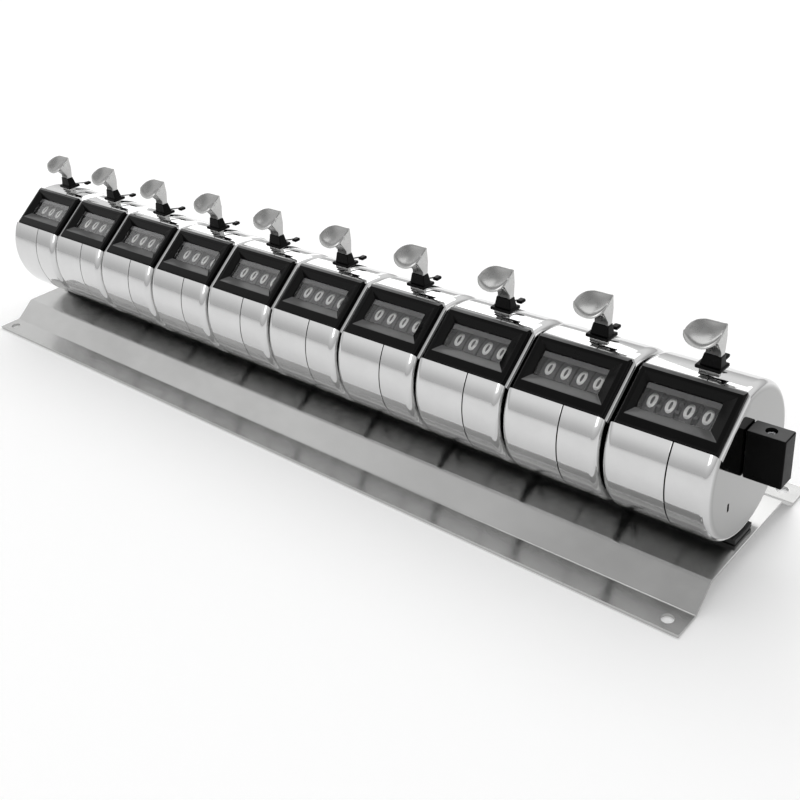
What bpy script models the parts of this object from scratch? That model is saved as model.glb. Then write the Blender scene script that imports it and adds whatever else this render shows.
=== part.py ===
"""Ten drum tally counters in a row on one bent sheet base, reset together by one knob.

The row runs along X, the windows face the front at -Y, and +Z is up. The base's underside is at z = 0.
Sizes are in metres, written as millimetres times MM.
"""

import math

import bmesh
import bpy
from mathutils import Matrix, Vector

MM = 0.001

# Row of units
UNITS = 10
PITCH = 33.5 * MM
CLEAR = 0.3 * MM
RUNNING = 0.4 * MM

# Drum case, two shells that meet at a seam
CASE_WIDTH = 31.6 * MM
DRUM_RADIUS = 23.0 * MM
CASE_WALL = 1.0 * MM
RIM_ROUND = 2.6 * MM
SEAM_SHIFT = 3.2 * MM
DRUM_STEPS = 20
INNER_STEPS = 10
RIM_STEPS = 2
HOLE_STEPS = 8

# Flat pocket on the front top of the drum, for the window
WINDOW_TILT = math.radians(37.0)
FLAT_OUT = 19.2 * MM

# Window bezel: u is along the row, v is up the slope, out is away from the drum's axis
BEZEL_WIDTH = 30.0 * MM
BEZEL_HEIGHT = 18.6 * MM
BEZEL_UP = 2.2 * MM
BEZEL_PROUD = 1.5 * MM
BEZEL_RIM = 1.7 * MM
BEZEL_DEPTH = 1.9 * MM
BEZEL_COLLAR = 0.8 * MM
COLLAR_LENGTH = 0.7 * MM
VIEW_WIDTH = 21.6 * MM
VIEW_HEIGHT = 8.0 * MM
VIEW_SHIFT = -1.1 * MM
VIEW_UP = 3.3 * MM

# Number wheels on the reset shaft, placed from the drum's axis
SHAFT_OUT = 5.6 * MM
SHAFT_UP = 2.2 * MM
SHAFT_RADIUS = 2.0 * MM
WHEELS = 4
WHEEL_RADIUS = 10.7 * MM
WHEEL_PITCH = 5.4 * MM
WHEEL_GAP = 0.5 * MM
GROOVE_DEPTH = 1.2 * MM
WHEEL_STEPS = 20
STACK_STEPS = 10
GEAR_TEETH = 20
GEAR_WIDTH = 1.2 * MM
GEAR_DEPTH = 1.1 * MM

# Ratchet on the units wheel, pinions behind the wheels
RATCHET_TEETH = 10
RATCHET_RADIUS = 7.4 * MM
RATCHET_DEPTH = 1.5 * MM
RATCHET_WIDTH = 1.0 * MM
RATCHET_STEEP = 0.08
PINION_TEETH = 8
PINION_RADIUS = 2.4 * MM
PINION_WIDTH = 1.0 * MM
PINION_SHAFT_RADIUS = 0.9 * MM
PINION_ANGLE = math.radians(100.0)

# Thumb lever, heights and depths from the drum's axis
STEM_WIDTH = 6.4 * MM
STEM_SHIFT = 3.0 * MM
STEM_TOP = 30.0 * MM
STEM_FRONT = -1.1 * MM
STEM_TOP_DEPTH = 2.5 * MM
STEM_FOOT_DEPTH = 4.8 * MM
SKIRT_WIDTH = 6.8 * MM
SKIRT_AHEAD = 2.3 * MM
SKIRT_BEHIND = 5.2 * MM
SKIRT_THICK = 1.1 * MM
SKIRT_OVER_DRUM = 2.2 * MM
BAR_HEIGHT = 2.4 * MM
BAR_DEPTH = 3.4 * MM
BAR_OVER_WHEEL = 2.1 * MM
ARM_THICK = 1.0 * MM
HUB_RADIUS = 4.4 * MM
HUB_STEPS = 10
ARM_FOOT_FRONT = 0.7
ARM_FOOT_BACK = 0.9
LEVER_SWING = math.radians(20.0)
PAWL_DEPTH = 1.4 * MM

# Lever pad and fin
FIN_THICK = 0.8 * MM
FIN_APEX = (1.9 * MM, 38.3 * MM)
FIN_CORNER = (-3.4 * MM, 34.9 * MM)
FIN_NECK_DEPTH = 2.3 * MM
FIN_ROOT = 2.0 * MM
FIN_BULGE = 0.3
PAD_LENGTH = 9.5 * MM
PAD_THICK = 0.8 * MM
PAD_DISH = 0.9 * MM
PAD_CURL = 0.3 * MM
PAD_LEAN = 0.5 * MM
PAD_FRONT = 1.8 * MM
PAD_BACK = 0.3 * MM
PAD_ROUNDNESS = 3.0
PAD_TIP = 0.985
PAD_DISH_AT_FIN = 0.12
PAD_ALONG = 6
PAD_ACROSS = 4

# Return spring of the end unit
SPRING_WIRE = 0.4 * MM
SPRING_RADIUS = 3.4 * MM
SPRING_TURNS = 1.2
SPRING_TURN_POINTS = 10
SPRING_STEP = 0.85 * MM
SPRING_LEG = 7.5 * MM

# Bent sheet base
SHEET = 1.0 * MM
BASE_OVERHANG = 0.75 * MM
FLANGE_DEPTH = 9.3 * MM
WEB_RUN = 8.0 * MM
WEB_RISE = 6.2 * MM
TOP_HALF_DEPTH = 21.5 * MM
BEND_RADIUS = 1.6 * MM
BEND_STEPS = 3
CORNER_CUT = 4.0 * MM
MOUNT_HOLE = 3.6 * MM
MOUNT_FROM_END = 5.4 * MM
MOUNT_FROM_EDGE = 4.1 * MM
MOUNT_STEPS = 12

# Mounting rail between the base and the drums
RAIL_HALF_DEPTH = 5.0 * MM
RAIL_THIN = 1.0 * MM
SEAT_STEPS = 3
STUD_RADIUS = 1.2 * MM
STUD_SHIFT = -6.0 * MM
STUD_STEPS = 6

# Reset knob
KNOB_LENGTH = 10.4 * MM
KNOB_THICK = 6.4 * MM
KNOB_HEIGHT = 14.8 * MM
KNOB_GAP = 0.4 * MM
KNOB_ROUND = 0.5 * MM
KNOB_BORE_DEPTH = 7.6 * MM
SCREW_RADIUS = 1.3 * MM
SCREW_LENGTH = 4.2 * MM
SCREW_HEX = 0.75 * MM
SHAFT_HEAD_RADIUS = 3.6 * MM
SHAFT_HEAD = 1.2 * MM
SHAFT_STEPS = 12

# Worked out from the sizes above
UP_SLOPE = Vector((0.0, math.cos(WINDOW_TILT), math.sin(WINDOW_TILT)))
OUTWARD = Vector((0.0, -math.sin(WINDOW_TILT), math.cos(WINDOW_TILT)))
PLATE_TOP = SHEET + WEB_RISE
AXIS_Z = PLATE_TOP + CLEAR + RAIL_THIN + CLEAR + DRUM_RADIUS
SHAFT = SHAFT_OUT * OUTWARD + SHAFT_UP * UP_SLOPE
CASE_HALF = CASE_WIDTH / 2
SEAM_LEFT = SEAM_SHIFT - CLEAR / 2
SEAM_RIGHT = SEAM_SHIFT + CLEAR / 2
INNER_RADIUS = DRUM_RADIUS - CASE_WALL
INNER_HALF = CASE_HALF - CASE_WALL
BORE_RADIUS = SHAFT_RADIUS + CLEAR
BASE_HALF = UNITS * PITCH / 2
ROW_HALF = (UNITS - 1) * PITCH / 2 + CASE_HALF
KNOB_END = ROW_HALF + KNOB_GAP + KNOB_LENGTH
MIDDLE_SHIFT = -(KNOB_END - BASE_HALF - BASE_OVERHANG) / 2
STACK_LENGTH = WHEELS * WHEEL_PITCH - WHEEL_GAP
RATCHET_FROM = VIEW_SHIFT + STACK_LENGTH / 2
ARM_FROM = RATCHET_FROM + RATCHET_WIDTH + RUNNING
BAR_FOOT = SHAFT.z + WHEEL_RADIUS + BAR_OVER_WHEEL
BAR_TOP = BAR_FOOT + BAR_HEIGHT
STEM_HALF = STEM_WIDTH / 2
POCKET_LOW = BEZEL_UP - BEZEL_HEIGHT / 2 - CLEAR

COLLECTION = bpy.data.collections.new("tally_counter_row")
CUTTERS = bpy.data.collections.new("cutters")


def clear_scene():
    for old in list(bpy.data.objects):
        bpy.data.objects.remove(old, do_unlink=True)
    bpy.context.scene.collection.children.link(COLLECTION)
    bpy.context.scene.collection.children.link(CUTTERS)


def material(name, colour, roughness, metallic):
    made = bpy.data.materials.new(name)
    made.use_nodes = True
    shader = made.node_tree.nodes["Principled BSDF"]
    shader.inputs["Base Color"].default_value = (*colour, 1.0)
    shader.inputs["Roughness"].default_value = roughness
    shader.inputs["Metallic"].default_value = metallic
    made.diffuse_color = (*colour, 1.0)
    return made


def new_object(name, data, collection):
    made = bpy.data.objects.new(name, data)
    collection.objects.link(made)
    return made


def cutter(name, mesh):
    made = new_object(name, mesh, CUTTERS)
    made.hide_render = True
    made.display_type = "WIRE"
    return made


def along_row(across, up):
    """The matrix that takes a shape made about Z, or flat in XY, to one along the row: Z to X, X to Y, Y to Z."""
    turn = Matrix(((0, 0, 1, 0), (1, 0, 0, 0), (0, 1, 0, 0), (0, 0, 0, 1)))
    return Matrix.Translation((0.0, across, up)) @ turn


def evaluated_mesh(obj, name):
    """The object's mesh with its modifiers applied. The object itself is removed."""
    bpy.context.view_layer.update()
    graph = bpy.context.evaluated_depsgraph_get()
    mesh = bpy.data.meshes.new_from_object(obj.evaluated_get(graph))
    mesh.name = name
    mesh.transform(obj.matrix_world)
    bpy.data.objects.remove(obj, do_unlink=True)
    return mesh


def box(low, high):
    """A box between two corners."""
    shape = bmesh.new()
    bmesh.ops.create_cube(shape, size=1.0)
    middle = (Vector(low) + Vector(high)) / 2
    size = Vector(high) - Vector(low)
    bmesh.ops.transform(shape, matrix=Matrix.Diagonal((*size, 1.0)), verts=shape.verts)
    bmesh.ops.translate(shape, vec=middle, verts=shape.verts)
    mesh = bpy.data.meshes.new("box")
    shape.to_mesh(mesh)
    shape.free()
    return mesh


def rod(radius, start, end, across, up, sides):
    """A cylinder along the row from x = start to x = end."""
    shape = bmesh.new()
    bmesh.ops.create_cone(
        shape, cap_ends=True, segments=sides, radius1=radius, radius2=radius, depth=end - start
    )
    bmesh.ops.translate(shape, vec=(0.0, 0.0, (start + end) / 2), verts=shape.verts)
    bmesh.ops.transform(shape, matrix=along_row(across, up), verts=shape.verts)
    mesh = bpy.data.meshes.new("rod")
    shape.to_mesh(mesh)
    shape.free()
    return mesh


def post(radius, foot, top, x, y, sides):
    """A cylinder along Z."""
    shape = bmesh.new()
    bmesh.ops.create_cone(
        shape, cap_ends=True, segments=sides, radius1=radius, radius2=radius, depth=top - foot
    )
    bmesh.ops.translate(shape, vec=(x, y, (foot + top) / 2), verts=shape.verts)
    mesh = bpy.data.meshes.new("post")
    shape.to_mesh(mesh)
    shape.free()
    return mesh


def turned(profile, steps, closed, across=0.0, up=0.0):
    """A profile of (radius, x) turned about the row's direction. It runs down the outer side."""
    mesh = bpy.data.meshes.new("turned")
    edges = [(i, i + 1) for i in range(len(profile) - 1)]
    if closed:
        edges.append((len(profile) - 1, 0))
    mesh.from_pydata([(radius, 0.0, x) for radius, x in profile], edges, [])
    obj = new_object("turned", mesh, COLLECTION)
    screw = obj.modifiers.new("Turn", "SCREW")
    screw.axis = "Z"
    screw.steps = steps
    screw.render_steps = steps
    screw.use_merge_vertices = True
    screw.merge_threshold = 0.000001
    obj.matrix_world = along_row(across, up)
    return evaluated_mesh(obj, "turned")


def plate(outline, start, end):
    """A flat outline of (y, z) points, as thick along the row as from x = start to x = end."""
    curve = bpy.data.curves.new("plate", "CURVE")
    curve.dimensions = "2D"
    curve.fill_mode = "BOTH"
    curve.extrude = (end - start) / 2
    spline = curve.splines.new("POLY")
    spline.points.add(len(outline) - 1)
    for point, (y, z) in zip(spline.points, outline):
        point.co = (y, z, 0.0, 1.0)
    spline.use_cyclic_u = True
    obj = new_object("plate", curve, COLLECTION)
    obj.matrix_world = Matrix.Translation(((start + end) / 2, 0.0, 0.0)) @ along_row(0.0, 0.0)
    mesh = evaluated_mesh(obj, "plate")
    shape = bmesh.new()
    shape.from_mesh(mesh)
    bmesh.ops.remove_doubles(shape, verts=shape.verts, dist=0.000001)
    bmesh.ops.recalc_face_normals(shape, faces=shape.faces)
    shape.to_mesh(mesh)
    shape.free()
    return mesh


def joined(name, mesh, added=(), removed=()):
    """One mesh with others added to it and then others cut from it."""
    obj = new_object(name, mesh, COLLECTION)
    for operation, others in (("UNION", added), ("DIFFERENCE", removed)):
        for index, other in enumerate(others):
            tool = cutter(f"{name}_{operation.lower()}_{index}", other)
            boolean = obj.modifiers.new(tool.name, "BOOLEAN")
            boolean.operation = operation
            boolean.solver = "EXACT"
            boolean.object = tool
    return evaluated_mesh(obj, name)


def smooth(mesh, angle=32.0):
    mesh.shade_smooth()
    mesh.set_sharp_from_angle(angle=math.radians(angle))


def put(name, mesh, location, finish, parent=None):
    """A named piece whose mesh is written from its own origin."""
    obj = new_object(name, mesh, COLLECTION)
    if not mesh.materials:
        mesh.materials.append(finish)
    obj.location = location
    if parent:
        obj.parent = parent
        obj.location = (0.0, 0.0, 0.0)
    return obj


def axis_empty(name, location):
    empty = new_object(name, None, COLLECTION)
    empty.location = location
    empty.empty_display_type = "SINGLE_ARROW"
    empty.empty_display_size = 0.01
    return empty


def unit_x(number):
    return MIDDLE_SHIFT + (number - (UNITS + 1) / 2) * PITCH


def slope_box(u_low, u_high, v_low, v_high, out_low, out_high):
    """A box that lies square to the window's slope."""
    mesh = box((u_low, v_low, out_low), (u_high, v_high, out_high))
    mesh.transform(Matrix.Rotation(WINDOW_TILT, 4, "X"))
    return mesh


def moved(mesh, x=0.0, y=0.0, z=0.0):
    mesh.transform(Matrix.Translation((x, y, z)))
    return mesh


# Drum case


def drum_core(start, end):
    """The inside of the case, with its own flat under the window's pocket."""
    core = rod(INNER_RADIUS, start, end, 0.0, 0.0, INNER_STEPS)
    over = slope_box(-PITCH, PITCH, POCKET_LOW - CASE_WALL, PITCH, FLAT_OUT - CASE_WALL, PITCH)
    return joined("core", core, removed=[over])


def case_profile(end_x, seam_x):
    """Half of a drum from its seam to its rounded end, as (radius, x)."""
    side = math.copysign(1.0, end_x - seam_x)
    rim = []
    for step in range(RIM_STEPS + 1):
        angle = step * math.pi / 2 / RIM_STEPS
        radius = DRUM_RADIUS - RIM_ROUND + RIM_ROUND * math.cos(angle)
        rim.append((radius, end_x - side * RIM_ROUND * (1 - math.sin(angle))))
    half = [(0.0, seam_x), (DRUM_RADIUS, seam_x), *rim, (0.0, end_x)]
    return half if side < 0 else half[::-1]


def case_shell(name, end_x, seam_x):
    """One shell: the half drum, its window pocket and opening, lever slot, shaft hole and stud hole."""
    inward = math.copysign(CASE_WALL, seam_x - end_x)
    past_seam = seam_x + math.copysign(CLEAR, inward)
    core = drum_core(min(end_x + inward, past_seam), max(end_x + inward, past_seam))
    flat = slope_box(-PITCH, PITCH, POCKET_LOW, PITCH, FLAT_OUT, PITCH)
    grow = BEZEL_COLLAR + CLEAR
    window = slope_box(
        VIEW_SHIFT - VIEW_WIDTH / 2 - grow,
        VIEW_SHIFT + VIEW_WIDTH / 2 + grow,
        VIEW_UP - VIEW_HEIGHT / 2 - grow,
        VIEW_UP + VIEW_HEIGHT / 2 + grow,
        WHEEL_RADIUS,
        PITCH,
    )
    slot_back = SHAFT.y + math.hypot(STEM_FOOT_DEPTH, BAR_TOP - SHAFT.z) * math.sin(
        LEVER_SWING + math.atan2(STEM_FRONT + STEM_FOOT_DEPTH - SHAFT.y, BAR_TOP - SHAFT.z)
    )
    slot = box(
        (STEM_SHIFT - STEM_HALF - RUNNING, STEM_FRONT - RUNNING, WHEEL_RADIUS),
        (STEM_SHIFT + STEM_HALF + RUNNING, slot_back + 3 * RUNNING, PITCH),
    )
    hole = rod(BORE_RADIUS + CLEAR, -PITCH, PITCH, SHAFT.y, SHAFT.z, HOLE_STEPS)
    stud = post(STUD_RADIUS + CLEAR, -PITCH, -INNER_RADIUS + 2 * CASE_WALL, STUD_SHIFT, 0.0, STUD_STEPS)
    solid = turned(case_profile(end_x, seam_x), DRUM_STEPS, closed=False)
    cuts = [flat, core, window, slot, hole]
    if end_x < 0:
        cuts.append(stud)
    shell = joined(name, solid, removed=cuts)
    smooth(shell)
    return shell


# Window bezel


def frustum(rectangle_low, rectangle_high, out_low, out_high):
    """A block between two rectangles (u_low, u_high, v_low, v_high) at two distances out."""
    mesh = box((0.0, 0.0, 0.0), (1.0, 1.0, 1.0))
    for corner in mesh.vertices:
        at_top = corner.co.z > 0.5
        u_low, u_high, v_low, v_high = rectangle_high if at_top else rectangle_low
        corner.co.x = u_high if corner.co.x > 0.5 else u_low
        corner.co.y = v_high if corner.co.y > 0.5 else v_low
        corner.co.z = out_high if at_top else out_low
    mesh.transform(Matrix.Rotation(WINDOW_TILT, 4, "X"))
    return mesh


def window_bezel():
    """A proud rim, four bevels that slope down to the view, and a collar through the case."""
    u = BEZEL_WIDTH / 2
    v_low = BEZEL_UP - BEZEL_HEIGHT / 2
    v_high = BEZEL_UP + BEZEL_HEIGHT / 2
    rim = FLAT_OUT + CLEAR + BEZEL_PROUD
    view = (
        VIEW_SHIFT - VIEW_WIDTH / 2,
        VIEW_SHIFT + VIEW_WIDTH / 2,
        VIEW_UP - VIEW_HEIGHT / 2,
        VIEW_UP + VIEW_HEIGHT / 2,
    )
    chamfer = BEZEL_PROUD / 3
    body = frustum((-u, u, v_low, v_high), (-u, u, v_low, v_high), FLAT_OUT + CLEAR, rim - chamfer)
    crown = frustum(
        (-u, u, v_low, v_high),
        (-u + chamfer, u - chamfer, v_low + chamfer, v_high - chamfer),
        rim - chamfer - CLEAR / 10,
        rim,
    )
    collar = slope_box(
        view[0] - BEZEL_COLLAR,
        view[1] + BEZEL_COLLAR,
        view[2] - BEZEL_COLLAR,
        view[3] + BEZEL_COLLAR,
        FLAT_OUT - CASE_WALL - COLLAR_LENGTH,
        rim - chamfer,
    )
    depth = BEZEL_DEPTH
    past = CLEAR
    grow = past / depth
    mouth = (-u + BEZEL_RIM, u - BEZEL_RIM, v_low + BEZEL_RIM, v_high - BEZEL_RIM)
    wide = tuple(edge + (edge - inner) * grow for edge, inner in zip(mouth, view))
    funnel = frustum(view, wide, rim - depth, rim + past)
    bore = slope_box(*view, WHEEL_RADIUS, rim)
    mesh = joined("window_bezel", body, added=[crown, collar], removed=[funnel, bore])
    smooth(mesh, 20.0)
    return mesh


# Number wheels


def wheel_start(index):
    """The left face of a wheel, from the unit's middle. Wheel 0 is the thousands."""
    return VIEW_SHIFT - STACK_LENGTH / 2 + index * WHEEL_PITCH


def gear_outline(radius, depth, teeth):
    """A toothed outline about the shaft: one tip and one root for each tooth."""
    points = []
    for step in range(2 * teeth):
        reach = radius - depth * (step % 2)
        turn = step * math.pi / teeth
        points.append((reach * math.cos(turn), reach * math.sin(turn)))
    return points


def ratchet_outline():
    """Saw teeth for the pawl: a steep face and a long back on each."""
    points = []
    tooth_angle = 2 * math.pi / RATCHET_TEETH
    for tooth in range(RATCHET_TEETH):
        for share, radius in ((0.0, RATCHET_RADIUS - RATCHET_DEPTH), (RATCHET_STEEP, RATCHET_RADIUS)):
            turn = (tooth + share) * tooth_angle
            points.append((radius * math.cos(turn), radius * math.sin(turn)))
    return points


def wheel_stack():
    """Four wheels of one closed unit turned as one piece, with a groove between neighbours."""
    outer = []
    for index in range(WHEELS):
        start = wheel_start(index)
        end = start + WHEEL_PITCH - WHEEL_GAP
        outer += [(WHEEL_RADIUS, start), (WHEEL_RADIUS, end)]
        if index < WHEELS - 1:
            outer.append((WHEEL_RADIUS - GROOVE_DEPTH, end + WHEEL_GAP / 2))
    ring = [(BORE_RADIUS, wheel_start(0)), *outer, (BORE_RADIUS, RATCHET_FROM)]
    mesh = turned(ring[::-1], STACK_STEPS, closed=True)
    smooth(mesh)
    return mesh


def single_wheel(index):
    """One wheel of the end unit: a digit rim with a toothed disc at its right, which drives a pinion."""
    start = wheel_start(index)
    rim_end = start + WHEEL_PITCH - WHEEL_GAP - GEAR_WIDTH
    disc_end = rim_end + GEAR_WIDTH
    rim = rod(WHEEL_RADIUS, start, rim_end, 0.0, 0.0, WHEEL_STEPS)
    added = [plate(gear_outline(WHEEL_RADIUS - CLEAR, GEAR_DEPTH, GEAR_TEETH), rim_end - CLEAR, disc_end)]
    if index == WHEELS - 1:
        added.append(plate(ratchet_outline(), disc_end - CLEAR, RATCHET_FROM + RATCHET_WIDTH))
    bore = rod(BORE_RADIUS, start - CLEAR, ARM_FROM, 0.0, 0.0, HOLE_STEPS)
    mesh = joined("number_wheel", rim, added=added, removed=[bore])
    smooth(mesh)
    return mesh


def transfer_pinions():
    """A small shaft between the case's ends, with a toothed pinion beside each wheel's disc."""
    reach = INNER_HALF - CLEAR
    mesh = rod(PINION_SHAFT_RADIUS, -reach, reach, 0.0, 0.0, PINION_TEETH)
    pinions = []
    for index in range(WHEELS - 1):
        middle = wheel_start(index) + WHEEL_PITCH - WHEEL_GAP - GEAR_WIDTH / 2
        outline = gear_outline(PINION_RADIUS, PINION_RADIUS / 3, PINION_TEETH)
        pinions.append(plate(outline, middle - PINION_WIDTH / 2, middle + PINION_WIDTH / 2))
    mesh = joined("transfer_pinions", mesh, added=pinions)
    smooth(mesh)
    return mesh


# Thumb lever


def dished_pad():
    """The thumb pad: a leaf that runs left from the fin, dished across and leaning to the front at its tip."""
    apex = Vector((0.0, *FIN_APEX))
    corner = Vector((0.0, *FIN_CORNER))
    slope = (apex - corner).normalized()
    chord = (apex - corner).length + PAD_FRONT + PAD_BACK
    normal = Vector((0.0, -slope.z, slope.y))
    shape = bmesh.new()
    bmesh.ops.create_grid(shape, x_segments=PAD_ALONG, y_segments=PAD_ACROSS, size=0.5)
    root_x = STEM_SHIFT + STEM_HALF - FIN_THICK / 2
    for point in shape.verts:
        run = point.co.x + 0.5
        side = 2 * point.co.y
        reach = math.sin(run * math.pi / 2)
        half = chord / 2 * (1 - (reach * PAD_TIP) ** PAD_ROUNDNESS) ** (1 / PAD_ROUNDNESS)
        hollow = PAD_DISH * (1 - side * side) * math.sin(math.pi * min(reach + PAD_DISH_AT_FIN, 1.0))
        height = PAD_CURL * reach**4 - hollow
        middle = corner + slope * (chord / 2 - PAD_FRONT - PAD_LEAN * reach**2)
        point.co = middle + slope * side * half + normal * height
        point.co.x = root_x - reach * PAD_LENGTH
    mesh = bpy.data.meshes.new("pad")
    shape.to_mesh(mesh)
    shape.free()
    obj = new_object("pad", mesh, COLLECTION)
    solidify = obj.modifiers.new("Thickness", "SOLIDIFY")
    solidify.thickness = PAD_THICK
    solidify.offset = 0.0
    return evaluated_mesh(obj, "pad")


def thumb_lever(with_pawl):
    """Pad and fin on a tapered stem with a skirt, and inside the case a bar, an arm, a hub and perhaps a pawl."""
    left = STEM_SHIFT - STEM_HALF
    right = STEM_SHIFT + STEM_HALF
    back = STEM_FRONT + STEM_FOOT_DEPTH
    stem = plate(
        [
            (STEM_FRONT, BAR_FOOT),
            (back, BAR_FOOT),
            (back, DRUM_RADIUS),
            (STEM_FRONT + STEM_TOP_DEPTH, STEM_TOP),
            (STEM_FRONT, STEM_TOP),
        ],
        left,
        right,
    )
    skirt_foot = DRUM_RADIUS + SKIRT_OVER_DRUM
    skirt = box(
        (STEM_SHIFT - SKIRT_WIDTH / 2, STEM_FRONT - SKIRT_AHEAD, skirt_foot),
        (STEM_SHIFT + SKIRT_WIDTH / 2, back + SKIRT_BEHIND, skirt_foot + SKIRT_THICK),
    )
    arm_end = ARM_FROM + ARM_THICK
    inset = CLEAR / 3
    bar = box(
        (STEM_SHIFT, STEM_FRONT + inset, BAR_FOOT + inset),
        (arm_end - 2 * inset, STEM_FRONT + BAR_DEPTH, BAR_TOP - inset),
    )
    arm = plate(
        [
            (STEM_FRONT, BAR_TOP),
            (SHAFT.y - HUB_RADIUS * ARM_FOOT_FRONT, SHAFT.z),
            (SHAFT.y + HUB_RADIUS * ARM_FOOT_BACK, SHAFT.z),
            (STEM_FRONT + BAR_DEPTH + inset, BAR_TOP),
        ],
        ARM_FROM + inset,
        arm_end - inset,
    )
    hub = rod(HUB_RADIUS, ARM_FROM, arm_end, SHAFT.y, SHAFT.z, HUB_STEPS)
    pawl_foot = SHAFT.z + RATCHET_RADIUS + RUNNING
    pawl = box(
        (ARM_FROM - RATCHET_WIDTH - RUNNING / 2, SHAFT.y, pawl_foot),
        (arm_end - 2 * inset, SHAFT.y + PAWL_DEPTH, pawl_foot + PAWL_DEPTH),
    )
    neck_back = STEM_FRONT + STEM_TOP_DEPTH / 2 + FIN_NECK_DEPTH / 2
    fin = plate(
        [
            (neck_back - FIN_NECK_DEPTH, STEM_TOP - FIN_ROOT),
            (neck_back, STEM_TOP - FIN_ROOT),
            (neck_back, STEM_TOP),
            (neck_back + FIN_BULGE * FIN_NECK_DEPTH, (STEM_TOP + FIN_APEX[1]) / 2),
            FIN_APEX,
            FIN_CORNER,
            (neck_back - FIN_NECK_DEPTH, STEM_TOP + FIN_NECK_DEPTH / 2),
        ],
        right - FIN_THICK - CLEAR / 2,
        right - CLEAR / 2,
    )
    bore = rod(BORE_RADIUS, -PITCH, PITCH, SHAFT.y, SHAFT.z, HUB_STEPS)
    added = [skirt, bar, arm, hub, fin, dished_pad()]
    if with_pawl:
        added.append(pawl)
    mesh = joined("thumb_lever", stem, added=added, removed=[bore])
    smooth(mesh)
    return moved(mesh, y=-SHAFT.y, z=-SHAFT.z)


def return_spring():
    """A torsion spring round the shaft between the lever's arm and the case's end, with two legs."""
    start = ARM_FROM + ARM_THICK + CLEAR + SPRING_WIRE / 2
    points = [Vector((start, SPRING_RADIUS, SPRING_LEG))]
    count = round(SPRING_TURNS * SPRING_TURN_POINTS)
    for step in range(count + 1):
        angle = 2 * math.pi * step / SPRING_TURN_POINTS
        x = start + SPRING_STEP * step / SPRING_TURN_POINTS
        points.append(Vector((x, SPRING_RADIUS * math.cos(angle), -SPRING_RADIUS * math.sin(angle))))
    last = points[-1]
    tangent = Vector((0.0, last.z, -last.y)).normalized()
    points.append(last + tangent * SPRING_LEG)
    curve = bpy.data.curves.new("lever_return_spring", "CURVE")
    curve.dimensions = "3D"
    curve.bevel_depth = SPRING_WIRE / 2
    curve.bevel_resolution = 1
    curve.use_fill_caps = True
    spline = curve.splines.new("POLY")
    spline.points.add(len(points) - 1)
    for point, place in zip(spline.points, points):
        point.co = (*place, 1.0)
    obj = new_object("spring", curve, COLLECTION)
    mesh = evaluated_mesh(obj, "lever_return_spring")
    shape = bmesh.new()
    shape.from_mesh(mesh)
    bmesh.ops.remove_doubles(shape, verts=shape.verts, dist=0.000001)
    shape.to_mesh(mesh)
    shape.free()
    smooth(mesh)
    return mesh


# Base, rail, shaft and knob


def bend_points(corner, before, after):
    """An arc of (y, z) points in place of a corner of a bent sheet."""
    corner, before, after = Vector(corner), Vector(before), Vector(after)
    towards = (before - corner).normalized()
    away = (after - corner).normalized()
    half = towards.angle(away) / 2
    centre = corner + (towards + away).normalized() * BEND_RADIUS / math.sin(half)
    first = corner + towards * BEND_RADIUS / math.tan(half) - centre
    last = corner + away * BEND_RADIUS / math.tan(half) - centre
    start = math.atan2(first.y, first.x)
    turn = math.remainder(math.atan2(last.y, last.x) - start, 2 * math.pi)
    points = []
    for step in range(BEND_STEPS + 1):
        angle = start + turn * step / BEND_STEPS
        points.append(centre + BEND_RADIUS * Vector((math.cos(angle), math.sin(angle))))
    return points


def base_plate():
    """One sheet with four bends, cut corners, four fixing holes and a hole for each drum's stud."""
    half = BASE_HALF + BASE_OVERHANG
    web_top = TOP_HALF_DEPTH
    web_foot = web_top + WEB_RUN
    edge = web_foot + FLANGE_DEPTH
    flange_z = SHEET / 2
    plate_z = PLATE_TOP - SHEET / 2
    outline = [Vector((-edge, flange_z))]
    outline += bend_points((-web_foot, flange_z), (-edge, flange_z), (-web_top, plate_z))
    outline += bend_points((-web_top, plate_z), (-web_foot, flange_z), (0.0, plate_z))
    outline.append(Vector((0.0, plate_z)))
    mesh = bpy.data.meshes.new("base_plate")
    points = [(x, y, z) for y, z in outline for x in (-half, half)]
    faces = [(2 * i, 2 * i + 1, 2 * i + 3, 2 * i + 2) for i in range(len(outline) - 1)]
    mesh.from_pydata(points, [], faces)
    obj = new_object("base", mesh, COLLECTION)
    mirror = obj.modifiers.new("Back half", "MIRROR")
    mirror.use_axis = (False, True, False)
    mirror.merge_threshold = 0.00001
    solidify = obj.modifiers.new("Sheet", "SOLIDIFY")
    solidify.thickness = SHEET
    solidify.offset = 0.0
    solidify.use_even_offset = True
    sheet = evaluated_mesh(obj, "base_plate")
    cuts = []
    for side in (-1, 1):
        for end in (-1, 1):
            wedge = box((-CORNER_CUT, -CORNER_CUT, -SHEET), (CORNER_CUT, CORNER_CUT, 2 * SHEET))
            wedge.transform(Matrix.Rotation(math.pi / 4, 4, "Z"))
            reach = CORNER_CUT * math.sqrt(2) - CORNER_CUT / 2
            cuts.append(moved(wedge, end * (half + reach), side * (edge + reach)))
            x = end * (half - MOUNT_FROM_END)
            y = side * (edge - MOUNT_FROM_EDGE)
            cuts.append(post(MOUNT_HOLE / 2, -SHEET, 2 * SHEET, x, y, MOUNT_STEPS))
    for number in range(1, UNITS + 1):
        x = unit_x(number) - MIDDLE_SHIFT + STUD_SHIFT
        cuts.append(post(STUD_RADIUS + CLEAR, PLATE_TOP - 2 * SHEET, PLATE_TOP + SHEET, x, 0.0, STUD_STEPS))
    mesh = joined("base_plate", sheet, removed=cuts)
    smooth(mesh)
    return mesh


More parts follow.
